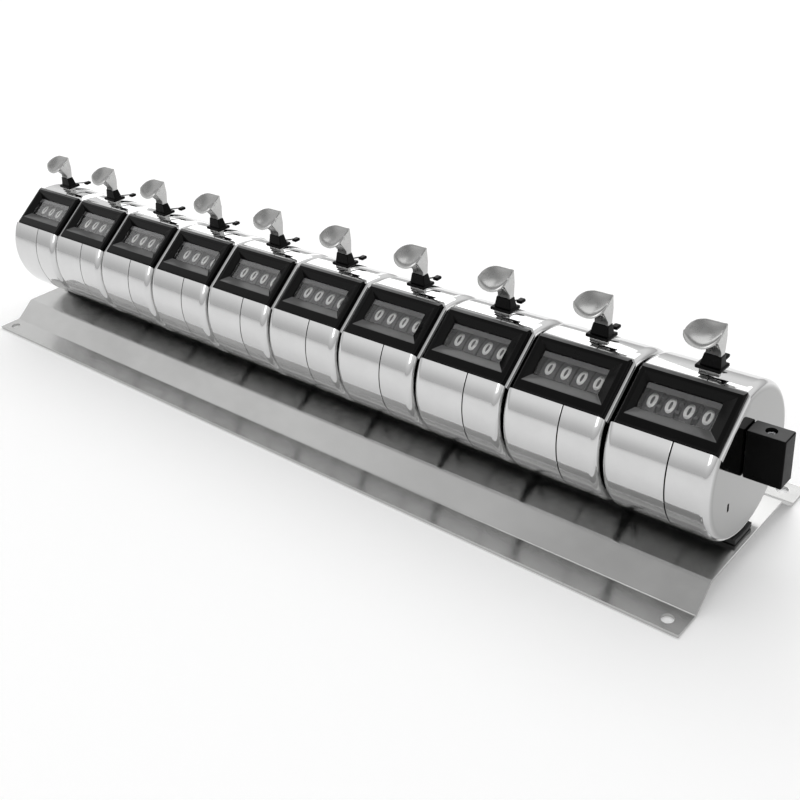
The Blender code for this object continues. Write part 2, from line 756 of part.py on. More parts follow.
def mounting_rail():
    """A saddle strip: flat under, hollow on top to the drums' radius, with a stud for each drum."""
    seat = DRUM_RADIUS + CLEAR
    foot = -(AXIS_Z - PLATE_TOP - CLEAR)
    widest = math.asin(RAIL_HALF_DEPTH / seat)
    outline = [(-RAIL_HALF_DEPTH, foot), (RAIL_HALF_DEPTH, foot)]
    for step in range(SEAT_STEPS + 1):
        angle = widest * (1 - 2 * step / SEAT_STEPS)
        outline.append((seat * math.sin(angle), -seat * math.cos(angle)))
    rail = plate(outline, -ROW_HALF, ROW_HALF)
    studs = []
    for number in range(1, UNITS + 1):
        x = unit_x(number) - MIDDLE_SHIFT + STUD_SHIFT
        studs.append(post(STUD_RADIUS, foot - SHEET, -INNER_RADIUS + CASE_WALL / 2, x, 0.0, STUD_STEPS))
    mesh = joined("mounting_rail", rail, added=studs)
    smooth(mesh)
    return mesh


def reset_shaft():
    """One rod through every drum, with a riveted head at the left and its end in the knob."""
    left = -ROW_HALF - CLEAR
    right = ROW_HALF + KNOB_GAP + KNOB_BORE_DEPTH - CLEAR
    profile = [
        (0.0, right),
        (SHAFT_RADIUS - CLEAR, right),
        (SHAFT_RADIUS, right - CLEAR),
        (SHAFT_RADIUS, left),
        (SHAFT_HEAD_RADIUS, left),
        (SHAFT_HEAD_RADIUS, left - SHAFT_HEAD / 2),
        (SHAFT_HEAD_RADIUS - SHAFT_HEAD / 2, left - SHAFT_HEAD),
        (0.0, left - SHAFT_HEAD),
    ]
    mesh = turned(profile, SHAFT_STEPS, closed=False)
    smooth(mesh)
    return mesh


def reset_knob():
    """A tall thin block with rounded edges, a bore for the shaft and a tapped hole from its top."""
    start = ROW_HALF + KNOB_GAP
    block = box(
        (start, -KNOB_THICK / 2, -KNOB_HEIGHT / 2), (KNOB_LENGTH + start, KNOB_THICK / 2, KNOB_HEIGHT / 2)
    )
    obj = new_object("knob", block, COLLECTION)
    bevel = obj.modifiers.new("Rounded edges", "BEVEL")
    bevel.width = KNOB_ROUND
    bevel.segments = 2
    block = evaluated_mesh(obj, "knob")
    bore = rod(BORE_RADIUS, start - CLEAR, start + KNOB_BORE_DEPTH, 0.0, 0.0, SHAFT_STEPS)
    tapped = post(SCREW_RADIUS + CLEAR, 0.0, KNOB_HEIGHT, start + KNOB_LENGTH / 2, 0.0, SHAFT_STEPS)
    mesh = joined("reset_knob", block, removed=[bore, tapped])
    smooth(mesh)
    return mesh


def knob_set_screw():
    """A headless screw with a hexagon socket, down on the shaft inside the knob."""
    foot = SHAFT_RADIUS + CLEAR
    x = ROW_HALF + KNOB_GAP + KNOB_LENGTH / 2
    screw = post(SCREW_RADIUS, foot, foot + SCREW_LENGTH, x, 0.0, SHAFT_STEPS)
    top = foot + SCREW_LENGTH
    socket = post(SCREW_HEX, top - SCREW_LENGTH / 3, top + CLEAR, x, 0.0, 6)
    mesh = joined("knob_set_screw", screw, removed=[socket])
    smooth(mesh)
    return mesh


def build():
    clear_scene()
    chrome = material("chrome", (0.78, 0.78, 0.78), 0.07, 1.0)
    stainless = material("stainless_sheet", (0.56, 0.55, 0.53), 0.22, 1.0)
    steel = material("steel", (0.45, 0.45, 0.46), 0.3, 1.0)
    black = material("black_plastic", (0.012, 0.012, 0.013), 0.3, 0.0)
    grey = material("wheel_grey", (0.05, 0.05, 0.052), 0.45, 0.0)
    middle = Vector((MIDDLE_SHIFT, 0.0, AXIS_Z))
    on_shaft = middle + Vector((0.0, SHAFT.y, SHAFT.z))

    put("base_plate", base_plate(), (MIDDLE_SHIFT, 0.0, 0.0), stainless)
    put("mounting_rail", mounting_rail(), middle, black)
    reset_axis = axis_empty("reset_axis", on_shaft)
    put("reset_shaft", reset_shaft(), (0.0, 0.0, 0.0), steel, reset_axis)
    put("reset_knob", reset_knob(), (0.0, 0.0, 0.0), black, reset_axis)
    put("knob_set_screw", knob_set_screw(), (0.0, 0.0, 0.0), steel, reset_axis)

    left_shell = case_shell("case_left_shell", -CASE_HALF, SEAM_LEFT)
    right_shell = case_shell("case_right_shell", CASE_HALF, SEAM_RIGHT)
    bezel = window_bezel()
    plain_lever = thumb_lever(with_pawl=False)
    pawl_lever = thumb_lever(with_pawl=True)
    wheels = wheel_stack()
    for number in range(1, UNITS + 1):
        centre = Vector((unit_x(number), 0.0, AXIS_Z))
        pivot = centre + Vector((0.0, SHAFT.y, SHAFT.z))
        put(f"case_left_shell_{number:02d}", left_shell, centre, chrome)
        put(f"case_right_shell_{number:02d}", right_shell, centre, chrome)
        put(f"window_bezel_{number:02d}", bezel, centre, black)
        lever_axis = axis_empty(f"lever_axis_{number:02d}", pivot)
        lever = pawl_lever if number == UNITS else plain_lever
        put(f"thumb_lever_{number:02d}", lever, pivot, chrome, lever_axis)
        wheel_axis = axis_empty(f"wheel_axis_{number:02d}", pivot)
        if number < UNITS:
            put(f"number_wheels_{number:02d}", wheels, pivot, grey, wheel_axis)
            continue
        for index, place in enumerate(("thousands", "hundreds", "tens", "units")):
            put(f"{place}_wheel_{number:02d}", single_wheel(index), pivot, grey, wheel_axis)
        reach = WHEEL_RADIUS + PINION_RADIUS + CLEAR
        pinion_at = pivot + Vector((0.0, reach * math.sin(PINION_ANGLE), reach * math.cos(PINION_ANGLE)))
        put(f"transfer_pinions_{number:02d}", transfer_pinions(), pinion_at, steel)
        put(f"lever_return_spring_{number:02d}", return_spring(), pivot, steel)


build()
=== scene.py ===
import math

import bmesh
import bpy
from mathutils import Matrix, Vector


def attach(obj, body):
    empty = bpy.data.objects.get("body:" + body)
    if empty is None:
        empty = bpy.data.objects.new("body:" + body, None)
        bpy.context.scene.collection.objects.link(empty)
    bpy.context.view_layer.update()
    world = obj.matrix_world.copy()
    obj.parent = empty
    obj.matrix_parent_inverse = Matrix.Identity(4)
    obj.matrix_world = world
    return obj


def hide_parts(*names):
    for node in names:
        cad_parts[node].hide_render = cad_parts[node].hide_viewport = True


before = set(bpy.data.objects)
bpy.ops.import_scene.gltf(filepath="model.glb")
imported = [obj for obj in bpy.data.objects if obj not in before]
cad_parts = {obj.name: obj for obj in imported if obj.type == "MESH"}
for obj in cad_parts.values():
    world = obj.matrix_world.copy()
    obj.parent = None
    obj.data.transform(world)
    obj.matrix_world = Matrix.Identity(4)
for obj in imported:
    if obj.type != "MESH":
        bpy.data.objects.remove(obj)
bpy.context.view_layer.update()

# Camera
# The counter is seen from in front of its reset end, a little above, with a normal lens
# and no shift, so that the row runs away to the upper left.
MM = 0.001
CAMERA_PLACE = Vector((256.34, -224.94, 197.33)) * MM
CAMERA_TURN = (59.18, 5.32, 41.41)
CAMERA_LENS = 47.25
CAMERA_SENSOR = 36.0
CAMERA_NEAREST = 10 * MM

scene = bpy.context.scene


def in_scene(name, data, location=(0.0, 0.0, 0.0)):
    """A new object in the scene that shows the given mesh, camera, lamp or text."""
    obj = bpy.data.objects.new(name, data)
    obj.location = location
    scene.collection.objects.link(obj)
    return obj


view = bpy.data.cameras.new("camera")
view.sensor_width = CAMERA_SENSOR
view.lens = CAMERA_LENS
view.clip_start = CAMERA_NEAREST
camera = in_scene("camera", view, CAMERA_PLACE)
camera.rotation_euler = [math.radians(turn) for turn in CAMERA_TURN]
scene.camera = camera
scene.view_settings.view_transform = "Standard"


# Studio
# A white sheet of paper lies under a tent that is white at mid height and greyer at its foot and
# roof. One broad softbox hangs overhead, one stands behind and a smaller one in front. The paper
# keeps the counter's soft shadow.
FLOOR_SIZE = 8.0
FLOOR_DROP = 0.15 * MM
TENT_FILL = 0.7
TENT_LOW = 0.6
TENT_HIGH_FROM = 0.4
TENT_ROOF = 0.5
TENT_ROOF_FROM = 0.6
TENT_ROOF_FULL = 0.88
PAPER = (0.9, 0.9, 0.9)
PAPER_LIFT = 0.17
PAPER_GRAIN = 900.0
PAPER_BUMP = 0.04
SOFTBOXES = (
    ("overhead softbox", (-0.1, 0.5, 1.05), (0.0, 0.0, 0.0), 1.2, 6.5),
    ("front softbox", (0.35, -1.1, 0.7), (0.0, 0.0, 0.03), 0.6, 1.6),
    ("back softbox", (-0.9, 1.0, 0.75), (0.0, 0.0, 0.05), 1.0, 4.0),
)


def shader_tree(name):
    """A new material's nodes and links, and the shader and output in them."""
    made = bpy.data.materials.new(name)
    made.use_nodes = True
    tree = made.node_tree
    return made, tree, tree.nodes["Principled BSDF"], tree.nodes["Material Output"]


def maths(tree, operation, first, second):
    """Two values worked into one. Each is another node's output or a plain number."""
    step = tree.nodes.new("ShaderNodeMath")
    step.operation = operation
    for socket, value in zip(step.inputs, (first, second)):
        if isinstance(value, float):
            socket.default_value = value
        else:
            tree.links.new(value, socket)
    return step.outputs[0]


def spread(tree, value, low, high, from_low=0.3, from_high=0.7, curve="LINEAR"):
    """A value taken from one range to another, such as the middle of a noise to 0 to 1."""
    ranged = tree.nodes.new("ShaderNodeMapRange")
    ranged.interpolation_type = curve
    ranged.inputs["From Min"].default_value = from_low
    ranged.inputs["From Max"].default_value = from_high
    ranged.inputs["To Min"].default_value = low
    ranged.inputs["To Max"].default_value = high
    tree.links.new(value, ranged.inputs["Value"])
    return ranged.outputs["Result"]


def seen_directly(tree):
    """One where a camera, mirror or glass ray arrives, and none where light is only gathered."""
    path = tree.nodes.new("ShaderNodeLightPath")
    unbroken = maths(tree, "MAXIMUM", path.outputs["Is Camera Ray"], path.outputs["Is Glossy Ray"])
    return maths(tree, "MAXIMUM", unbroken, path.outputs["Is Transmission Ray"])


tent = bpy.data.worlds.new("white tent")
tent.use_nodes = True
sky = tent.node_tree
sky.nodes["Background"].inputs["Color"].default_value = (1.0, 1.0, 1.0, 1.0)
tent_level = spread(sky, seen_directly(sky), TENT_FILL, 1.0, 0.0, 1.0)
towards = sky.nodes.new("ShaderNodeTexCoord")
height = sky.nodes.new("ShaderNodeSeparateXYZ")
sky.links.new(towards.outputs["Generated"], height.inputs["Vector"])
tent_foot = spread(sky, height.outputs["Z"], TENT_LOW, 1.0, 0.0, TENT_HIGH_FROM, "SMOOTHSTEP")
tent_roof = spread(sky, height.outputs["Z"], 1.0, TENT_ROOF, TENT_ROOF_FROM, TENT_ROOF_FULL, "SMOOTHSTEP")
white_behind = sky.nodes.new("ShaderNodeLightPath")
tent_shade = sky.nodes.new("ShaderNodeMix")
tent_shade.inputs["B"].default_value = 1.0
sky.links.new(white_behind.outputs["Is Camera Ray"], tent_shade.inputs["Factor"])
sky.links.new(maths(sky, "MULTIPLY", tent_foot, tent_roof), tent_shade.inputs["A"])
tent_strength = maths(sky, "MULTIPLY", tent_level, tent_shade.outputs["Result"])
sky.links.new(tent_strength, sky.nodes["Background"].inputs["Strength"])
scene.world = tent

paper, tree, shader, _ = shader_tree("white paper")
paper_grain = tree.nodes.new("ShaderNodeTexNoise")
paper_grain.inputs["Scale"].default_value = PAPER_GRAIN
paper_bump = tree.nodes.new("ShaderNodeBump")
paper_bump.inputs["Strength"].default_value = PAPER_BUMP
tree.links.new(paper_grain.outputs["Fac"], paper_bump.inputs["Height"])
tree.links.new(paper_bump.outputs["Normal"], shader.inputs["Normal"])
shader.inputs["Base Color"].default_value = (*PAPER, 1.0)
shader.inputs["Roughness"].default_value = 0.9
shader.inputs["Specular IOR Level"].default_value = 0.1
shader.inputs["Emission Color"].default_value = (1.0, 1.0, 1.0, 1.0)
paper_lift = maths(tree, "MULTIPLY", seen_directly(tree), PAPER_LIFT)
tree.links.new(paper_lift, shader.inputs["Emission Strength"])

floor_mesh = bpy.data.meshes.new("floor")
half = FLOOR_SIZE / 2
floor_corners = ((-half, -half), (half, -half), (half, half), (-half, half))
floor_mesh.from_pydata([(x, y, -FLOOR_DROP) for x, y in floor_corners], [], [(0, 1, 2, 3)])
floor_mesh.materials.append(paper)
floor = in_scene("floor", floor_mesh)

for name, stand, aim, width, power in SOFTBOXES:
    lamp = bpy.data.lights.new(name, "AREA")
    lamp.size = width
    lamp.energy = power
    box = in_scene(name, lamp, stand)
    box.rotation_euler = (Vector(stand) - Vector(aim)).to_track_quat("Z", "Y").to_euler()


# Base sheet
# One strip of bright stainless sheet, 1 mm thick. Its two long sides are bent down and out
# again into feet, the corners are cut off, and each foot has a drilled fixing hole at each end.
UNITS = 10
PITCH = 33.5 * MM
MIDDLE_SHIFT = -4.55 * MM
SHEET = 1.0 * MM
SHEET_EASE = 0.16 * MM
BASE_HALF = 168.25 * MM
FLANGE_DEPTH = 9.3 * MM
WEB_RUN = 8.0 * MM
WEB_RISE = 6.2 * MM
TOP_HALF_DEPTH = 21.5 * MM
BEND_RADIUS = 1.6 * MM
BEND_STEPS = 10
CORNER_CUT = 4.0 * MM
MOUNT_HOLE = 3.6 * MM
MOUNT_FROM_END = 5.4 * MM
MOUNT_FROM_EDGE = 4.1 * MM
STUD_HOLE_RADIUS = 1.5 * MM
STUD_SHIFT = -6.0 * MM
STUD_SIDES = 24
DRILL_SIDES = 48


def unit_x(number):
    """The middle of one of the ten units, along the row."""
    return MIDDLE_SHIFT + (number - (UNITS + 1) / 2) * PITCH


def mesh_of(shape, name, turn_out=True):
    """The bmesh written out as a mesh, with its faces turned outwards."""
    if turn_out:
        bmesh.ops.recalc_face_normals(shape, faces=shape.faces)
    mesh = bpy.data.meshes.new(name)
    shape.to_mesh(mesh)
    shape.free()
    return mesh


def block(low, high):
    """A box between two of its corners."""
    shape = bmesh.new()
    bmesh.ops.create_cube(shape, size=1.0)
    size = Vector(high) - Vector(low)
    bmesh.ops.scale(shape, vec=size, verts=shape.verts)
    bmesh.ops.translate(shape, vec=(Vector(low) + Vector(high)) / 2, verts=shape.verts)
    return mesh_of(shape, "block")


def upright_drill(radius, foot, top, x, y, sides=DRILL_SIDES):
    """A round cutter that stands along Z."""
    shape = bmesh.new()
    bmesh.ops.create_cone(
        shape, cap_ends=True, segments=sides, radius1=radius, radius2=radius, depth=top - foot
    )
    bmesh.ops.translate(shape, vec=(x, y, (foot + top) / 2), verts=shape.verts)
    return mesh_of(shape, "drill")


def baked(obj, *others):
    """An object's mesh with its modifiers applied. The working objects are cleared away."""
    bpy.context.view_layer.update()
    made = bpy.data.meshes.new_from_object(obj.evaluated_get(bpy.context.evaluated_depsgraph_get()))
    for used in (obj, *others):
        bpy.data.objects.remove(used, do_unlink=True)
    return made


def worked(mesh, cuts=(), edge=0.0, edge_steps=2, edge_angle=50.0):
    """The mesh after others are cut from it and its edges are eased."""
    obj = in_scene("work", mesh)
    tools = [in_scene("tool", cut) for cut in cuts]
    for tool in tools:
        boolean = obj.modifiers.new("cut", "BOOLEAN")
        boolean.operation = "DIFFERENCE"
        boolean.solver = "EXACT"
        boolean.object = tool
    if edge:
        bevel = obj.modifiers.new("eased edges", "BEVEL")
        bevel.width = edge
        bevel.segments = edge_steps
        bevel.limit_method = "ANGLE"
        bevel.angle_limit = math.radians(edge_angle)
        bevel.harden_normals = False
    made = baked(obj, *tools)
    made.materials.clear()
    return made


def smooth(mesh, angle=32.0):
    """Smooth shading up to an angle, with the wide flat faces kept flat."""
    mesh.shade_smooth()
    mesh.set_sharp_from_angle(angle=math.radians(angle))
    obj = in_scene("work", mesh)
    flat_faces = obj.modifiers.new("flat faces", "WEIGHTED_NORMAL")
    flat_faces.keep_sharp = True
    return baked(obj)


def place(name, mesh, finish, body, location, nodes=()):
    """Puts a finished piece where it sits and lets it move with its body."""
    if not mesh.materials:
        mesh.materials.append(finish)
    piece = in_scene(name, mesh, location)
    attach(piece, body)
    if nodes:
        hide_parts(*nodes)


def bend(corner, before, after):
    """An arc of (y, z) points in place of a corner of the sheet's middle line."""
    corner, before, after = Vector(corner), Vector(before), Vector(after)
    towards = (before - corner).normalized()
    away = (after - corner).normalized()
    half = towards.angle(away) / 2
    centre = corner + (towards + away).normalized() * BEND_RADIUS / math.sin(half)
    first = corner + towards * BEND_RADIUS / math.tan(half) - centre
    last = corner + away * BEND_RADIUS / math.tan(half) - centre
    start = math.atan2(first.y, first.x)
    turn = math.remainder(math.atan2(last.y, last.x) - start, 2 * math.pi)
    angles = [start + turn * step / BEND_STEPS for step in range(BEND_STEPS + 1)]
    return [centre + BEND_RADIUS * Vector((math.cos(angle), math.sin(angle))) for angle in angles]


def bent_sheet():
    """The sheet's middle line drawn along the row, thickened, then trimmed and drilled."""
    web_foot = TOP_HALF_DEPTH + WEB_RUN
    edge = web_foot + FLANGE_DEPTH
    foot_z = SHEET / 2
    top_z = SHEET / 2 + WEB_RISE
    outline = [Vector((-edge, foot_z))]
    outline += bend((-web_foot, foot_z), (-edge, foot_z), (-TOP_HALF_DEPTH, top_z))
    outline += bend((-TOP_HALF_DEPTH, top_z), (-web_foot, foot_z), (0.0, top_z))
    outline.append(Vector((0.0, top_z)))
    outline += [Vector((-point.x, point.y)) for point in reversed(outline[:-1])]
    mesh = bpy.data.meshes.new("base sheet")
    points = [(x, y, z) for y, z in outline for x in (-BASE_HALF, BASE_HALF)]
    faces = [(2 * i, 2 * i + 1, 2 * i + 3, 2 * i + 2) for i in range(len(outline) - 1)]
    mesh.from_pydata(points, [], faces)
    obj = in_scene("sheet", mesh)
    thickness = obj.modifiers.new("sheet", "SOLIDIFY")
    thickness.thickness = SHEET
    thickness.offset = 0.0
    thickness.use_even_offset = True
    solid = baked(obj)
    cuts = []
    reach = CORNER_CUT * math.sqrt(2) - CORNER_CUT / 2
    for side in (-1, 1):
        for end in (-1, 1):
            wedge = block((-CORNER_CUT, -CORNER_CUT, -SHEET), (CORNER_CUT, CORNER_CUT, 2 * SHEET))
            wedge.transform(Matrix.Rotation(math.pi / 4, 4, "Z"))
            wedge.transform(Matrix.Translation((end * (BASE_HALF + reach), side * (edge + reach), 0.0)))
            x = end * (BASE_HALF - MOUNT_FROM_END)
            y = side * (edge - MOUNT_FROM_EDGE)
            cuts += [wedge, upright_drill(MOUNT_HOLE / 2, -SHEET, 2 * SHEET, x, y)]
    for number in range(1, UNITS + 1):
        x = unit_x(number) - MIDDLE_SHIFT + STUD_SHIFT
        top = WEB_RISE + 2 * SHEET
        cuts.append(upright_drill(STUD_HOLE_RADIUS, WEB_RISE - SHEET, top, x, 0.0, STUD_SIDES))
    return smooth(worked(solid, cuts=cuts, edge=SHEET_EASE))


def grain_noise(tree, scale, along=1.0, detail=4.0):
    """Noise laid out on the piece itself, drawn out along the row where along is under 1."""
    where = tree.nodes.new("ShaderNodeTexCoord")
    turned = tree.nodes.new("ShaderNodeMapping")
    turned.inputs["Scale"].default_value = (along, 1.0, 1.0)
    noise = tree.nodes.new("ShaderNodeTexNoise")
    noise.inputs["Scale"].default_value = scale
    noise.inputs["Detail"].default_value = detail
    noise.inputs["Roughness"].default_value = 0.6
    tree.links.new(where.outputs["Object"], turned.inputs["Vector"])
    tree.links.new(turned.outputs["Vector"], noise.inputs["Vector"])
    return noise.outputs["Fac"]


def surface(tree, shader, colour, roughness, metal=0.0):
    """Another node's colour and another's roughness given to a shader, and how metallic it is."""
    tree.links.new(colour, shader.inputs["Base Color"])
    tree.links.new(roughness, shader.inputs["Roughness"])
    shader.inputs["Metallic"].default_value = metal


def tint(tree, share, first, second):
    """A colour that goes from the first to the second, each a plain colour or another node's."""
    mixed = tree.nodes.new("ShaderNodeMix")
    mixed.data_type = "RGBA"
    for name, colour in (("A", first), ("B", second)):
        if isinstance(colour, tuple):
            mixed.inputs[name].default_value = (*colour, 1.0)
        else:
            tree.links.new(colour, mixed.inputs[name])
    tree.links.new(share, mixed.inputs["Factor"])
    return mixed.outputs["Result"]


def relief(tree, shader, heights):
    """Bumps of several sizes on one surface, each as (value, strength, depth)."""
    normal = None
    for value, strength, depth in heights:
        bump = tree.nodes.new("ShaderNodeBump")
        bump.inputs["Strength"].default_value = strength
        bump.inputs["Distance"].default_value = depth
        tree.links.new(value, bump.inputs["Height"])
        if normal:
            tree.links.new(normal, bump.inputs["Normal"])
        normal = bump.outputs["Normal"]
    tree.links.new(normal, shader.inputs["Normal"])


stainless, tree, shader, _ = shader_tree("bright stainless sheet")
brushing = grain_noise(tree, 2600.0, along=0.02)
patches = grain_noise(tree, 22.0, along=0.6)
handling = grain_noise(tree, 190.0, detail=6.0)
clouded = tint(tree, spread(tree, patches, 0.0, 1.0), (0.44, 0.44, 0.435), (0.54, 0.54, 0.535))
surface(tree, shader, clouded, spread(tree, handling, 0.16, 0.26), metal=1.0)
relief(tree, shader, [(brushing, 0.09, 0.02 * MM), (patches, 0.12, 0.25 * MM)])

sheet_at = (MIDDLE_SHIFT, 0.0, 0.0)
place("base_sheet", bent_sheet(), stainless, "counter_body", sheet_at, ["base_plate"])


# Mounting rail
# A black moulded strip with a hollow top that the drums sit in. A stud under each drum goes
# down through the sheet and up into the case. It is the row's own solid, given its finish here.
def grained(name, colours, roughness, wear, grain, bump, metal=0.0):
    """A finish with one noise in its colour and roughness, and another in its bumps."""
    made, tree, shader, _ = shader_tree(name)
    worn = grain_noise(tree, *wear)
    surface(tree, shader, tint(tree, worn, *colours), spread(tree, worn, *roughness), metal)
    relief(tree, shader, [(grain_noise(tree, *grain), *bump)])
    return made


rail_colours = ((0.008, 0.008, 0.008), (0.02, 0.02, 0.021))
rail_bump = (0.3, 0.05 * MM)
rail_black = grained("black rail plastic", rail_colours, (0.42, 0.6), (60.0, 0.3), (1400.0,), rail_bump)
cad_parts["mounting_rail"].material_slots[0].material = rail_black


# Reset shaft
# A drawn steel rod that runs through all ten drums. It is headed over at the left end,
# and the knob is clamped on its right end.
AXIS_Z = 31.8 * MM
WINDOW_TILT = math.radians(37.0)
UP_SLOPE = Vector((0.0, math.cos(WINDOW_TILT), math.sin(WINDOW_TILT)))
OUTWARD = Vector((0.0, -math.sin(WINDOW_TILT), math.cos(WINDOW_TILT)))
SHAFT = 5.6 * MM * OUTWARD + 2.2 * MM * UP_SLOPE
SHAFT_RADIUS = 2.0 * MM
SHAFT_HEAD_RADIUS = 3.6 * MM
SHAFT_HEAD = 1.2 * MM
SHAFT_EASE = 0.3 * MM
SHAFT_SIDES = 48
HEAD_ROUND = 1.4 * MM
HEAD_STEPS = 6
CLEAR = 0.3 * MM
CASE_HALF = 15.8 * MM
ROW_HALF = (UNITS - 1) * PITCH / 2 + CASE_HALF
KNOB_GAP = 0.4 * MM
SHAFT_IN_KNOB = 7.3 * MM


def turned(profile, steps, name="turned"):
    """A closed outline of (radius, x) turned about the row's direction."""
    shape = bmesh.new()
    rings = []
    for radius, x in profile:
        if radius < 1e-7:
            rings.append([shape.verts.new((x, 0.0, 0.0))])
            continue
        ring = []
        for step in range(steps):
            angle = 2 * math.pi * step / steps
            ring.append(shape.verts.new((x, radius * math.cos(angle), radius * math.sin(angle))))
        rings.append(ring)
    pairs = list(zip(rings, rings[1:]))
    if len(rings[0]) > 1:
        pairs.append((rings[-1], rings[0]))
    for one, other in pairs:
        for step in range(steps):
            after = (step + 1) % steps
            corners = [one[step % len(one)], one[after % len(one)]]
            corners += [other[after % len(other)], other[step % len(other)]]
            unlike = list(dict.fromkeys(corners))
            if len(unlike) > 2:
                shape.faces.new(unlike)
    return mesh_of(shape, name)


def steel_finish(name, dark, light, rough_low, rough_high):
    """Bare steel with stains and fine turning lines."""
    lines, bump = (90.0, 40.0), (0.2, 0.02 * MM)
    return grained(name, (dark, light), (rough_low, rough_high), (240.0,), lines, bump, metal=1.0)


steel = steel_finish("drawn steel", (0.36, 0.36, 0.37), (0.55, 0.55, 0.56), 0.2, 0.36)
shaft_left = -ROW_HALF - CLEAR
shaft_right = ROW_HALF + KNOB_GAP + SHAFT_IN_KNOB
head_right = shaft_left - SHAFT_EASE / 2
head_left = shaft_left - SHAFT_HEAD
shaft_outline = [
    (0.0, shaft_right),
    (SHAFT_RADIUS - SHAFT_EASE, shaft_right),
    (SHAFT_RADIUS, shaft_right - SHAFT_EASE),
    (SHAFT_RADIUS, shaft_left),
    (SHAFT_HEAD_RADIUS - SHAFT_EASE / 2, shaft_left),
    (SHAFT_HEAD_RADIUS, head_right),
]
for step in range(1, HEAD_STEPS + 1):
    turn = step / HEAD_STEPS * math.pi / 2
    radius = SHAFT_HEAD_RADIUS - HEAD_ROUND * (1 - math.cos(turn))
    shaft_outline.append((radius, head_right - (head_right - head_left) * math.sin(turn)))
shaft_outline.append((0.0, head_left))
shaft_at = Vector((MIDDLE_SHIFT, SHAFT.y, AXIS_Z + SHAFT.z))
shaft_mesh = smooth(turned(shaft_outline, SHAFT_SIDES))
place("reset_rod", shaft_mesh, steel, "reset", shaft_at, ["reset_shaft"])


# Number wheels
# Four moulded dark grey wheels turn on the shaft behind each window, with white figures 0 to 9
# printed round their rims. The end unit's wheels are separate, each with a toothed disc.
WHEEL_RADIUS = 10.7 * MM
WHEEL_PITCH = 5.4 * MM
WHEEL_WIDTH = 4.9 * MM
WHEEL_CHAMFER = 0.14 * MM
WHEEL_SIDES = 96
GROOVE_DEPTH = 1.2 * MM
WHEELS_FROM = -11.65 * MM
BORE_RADIUS = 2.3 * MM
BORE_SIDES = 32
GEAR_TEETH = 20
GEAR_WIDTH = 1.2 * MM
GEAR_DEPTH = 1.1 * MM
RATCHET_TEETH = 10
RATCHET_RADIUS = 7.4 * MM
RATCHET_DEPTH = 1.5 * MM
RATCHET_WIDTH = 1.0 * MM
FIGURE_HEIGHT = 4.7 * MM
FIGURE_WIDTH = 2.7 * MM
FIGURE_PROUD = 0.07 * MM
FIGURE_TURN = math.radians(6.8)
FIGURE_BOLD = 0.04
FIGURE_CUTS = 6


def wheel_start(index):
    """The left side of a wheel, counted from the thousands, from its unit's middle."""
    return WHEELS_FROM + index * WHEEL_PITCH


def on_shaft(number):
    """Where a unit's wheels and lever are centred."""
    return Vector((unit_x(number), SHAFT.y, AXIS_Z + SHAFT.z))


def joined(meshes, name):
    """Several closed meshes kept as one piece."""
    shape = bmesh.new()
    for mesh in meshes:
        shape.from_mesh(mesh)
    return mesh_of(shape, name, turn_out=False)


def rod(radius, start, end, sides):
    """A solid round bar along the row."""
    return turned([(0.0, start), (radius, start), (radius, end), (0.0, end)], sides)


def loft(stations, name="loft"):
    """A solid through outlines of (y, z) points that stand at several places along the row."""
    shape = bmesh.new()
    rings = [[shape.verts.new((x, y, z)) for y, z in outline] for x, outline in stations]
    shape.faces.new(rings[0])
    shape.faces.new(rings[-1])
    for near, far in zip(rings, rings[1:]):
        for index in range(len(near)):
            after = (index + 1) % len(near)
            shape.faces.new((near[index], near[after], far[after], far[index]))
    return mesh_of(shape, name)


def plate(outline, start, end, name="plate"):
    """A flat outline of (y, z) points, as thick along the row as from start to end."""
    return loft([(start, outline), (end, outline)], name)


def wheel_rim(start, end):
    """The section of one wheel, from its bore out round its rim and back."""
    return [
        (BORE_RADIUS, start),
        (WHEEL_RADIUS - WHEEL_CHAMFER, start),
        (WHEEL_RADIUS, start + WHEEL_CHAMFER),
        (WHEEL_RADIUS, end - WHEEL_CHAMFER),
        (WHEEL_RADIUS - WHEEL_CHAMFER, end),
        (BORE_RADIUS, end),
    ]


def wheel_stack():
    """The four wheels of one closed unit, which turn together."""
    outline = []
    for index in range(4):
        start = wheel_start(index)
        rim = wheel_rim(start, start + WHEEL_WIDTH)
        outline += rim[:-1] if index == 0 else rim[1:-1]
        if index < 3:
            floor_radius = WHEEL_RADIUS - GROOVE_DEPTH
            outline += [(floor_radius, start + WHEEL_WIDTH), (floor_radius, start + WHEEL_PITCH)]
    outline.append((BORE_RADIUS, wheel_start(3) + WHEEL_WIDTH))
    return smooth(turned(outline, WHEEL_SIDES))


def gear_outline(radius, depth, teeth):
    """Round-shouldered teeth: two points on each tip and two in each root."""
    points = []
    for tooth in range(teeth):
        root = radius - depth
        for share, reach in ((-0.13, radius), (0.13, radius), (0.33, root), (0.67, root)):
            angle = 2 * math.pi * (tooth + share) / teeth
            points.append((reach * math.cos(angle), reach * math.sin(angle)))
    return points


def ratchet_outline():
    """Saw teeth, each a steep step and a long slope."""
    points = []
    for tooth in range(RATCHET_TEETH):
        for share, reach in ((0.0, RATCHET_RADIUS - RATCHET_DEPTH), (0.08, RATCHET_RADIUS)):
            angle = 2 * math.pi * (tooth + share) / RATCHET_TEETH
            points.append((reach * math.cos(angle), reach * math.sin(angle)))
    return points


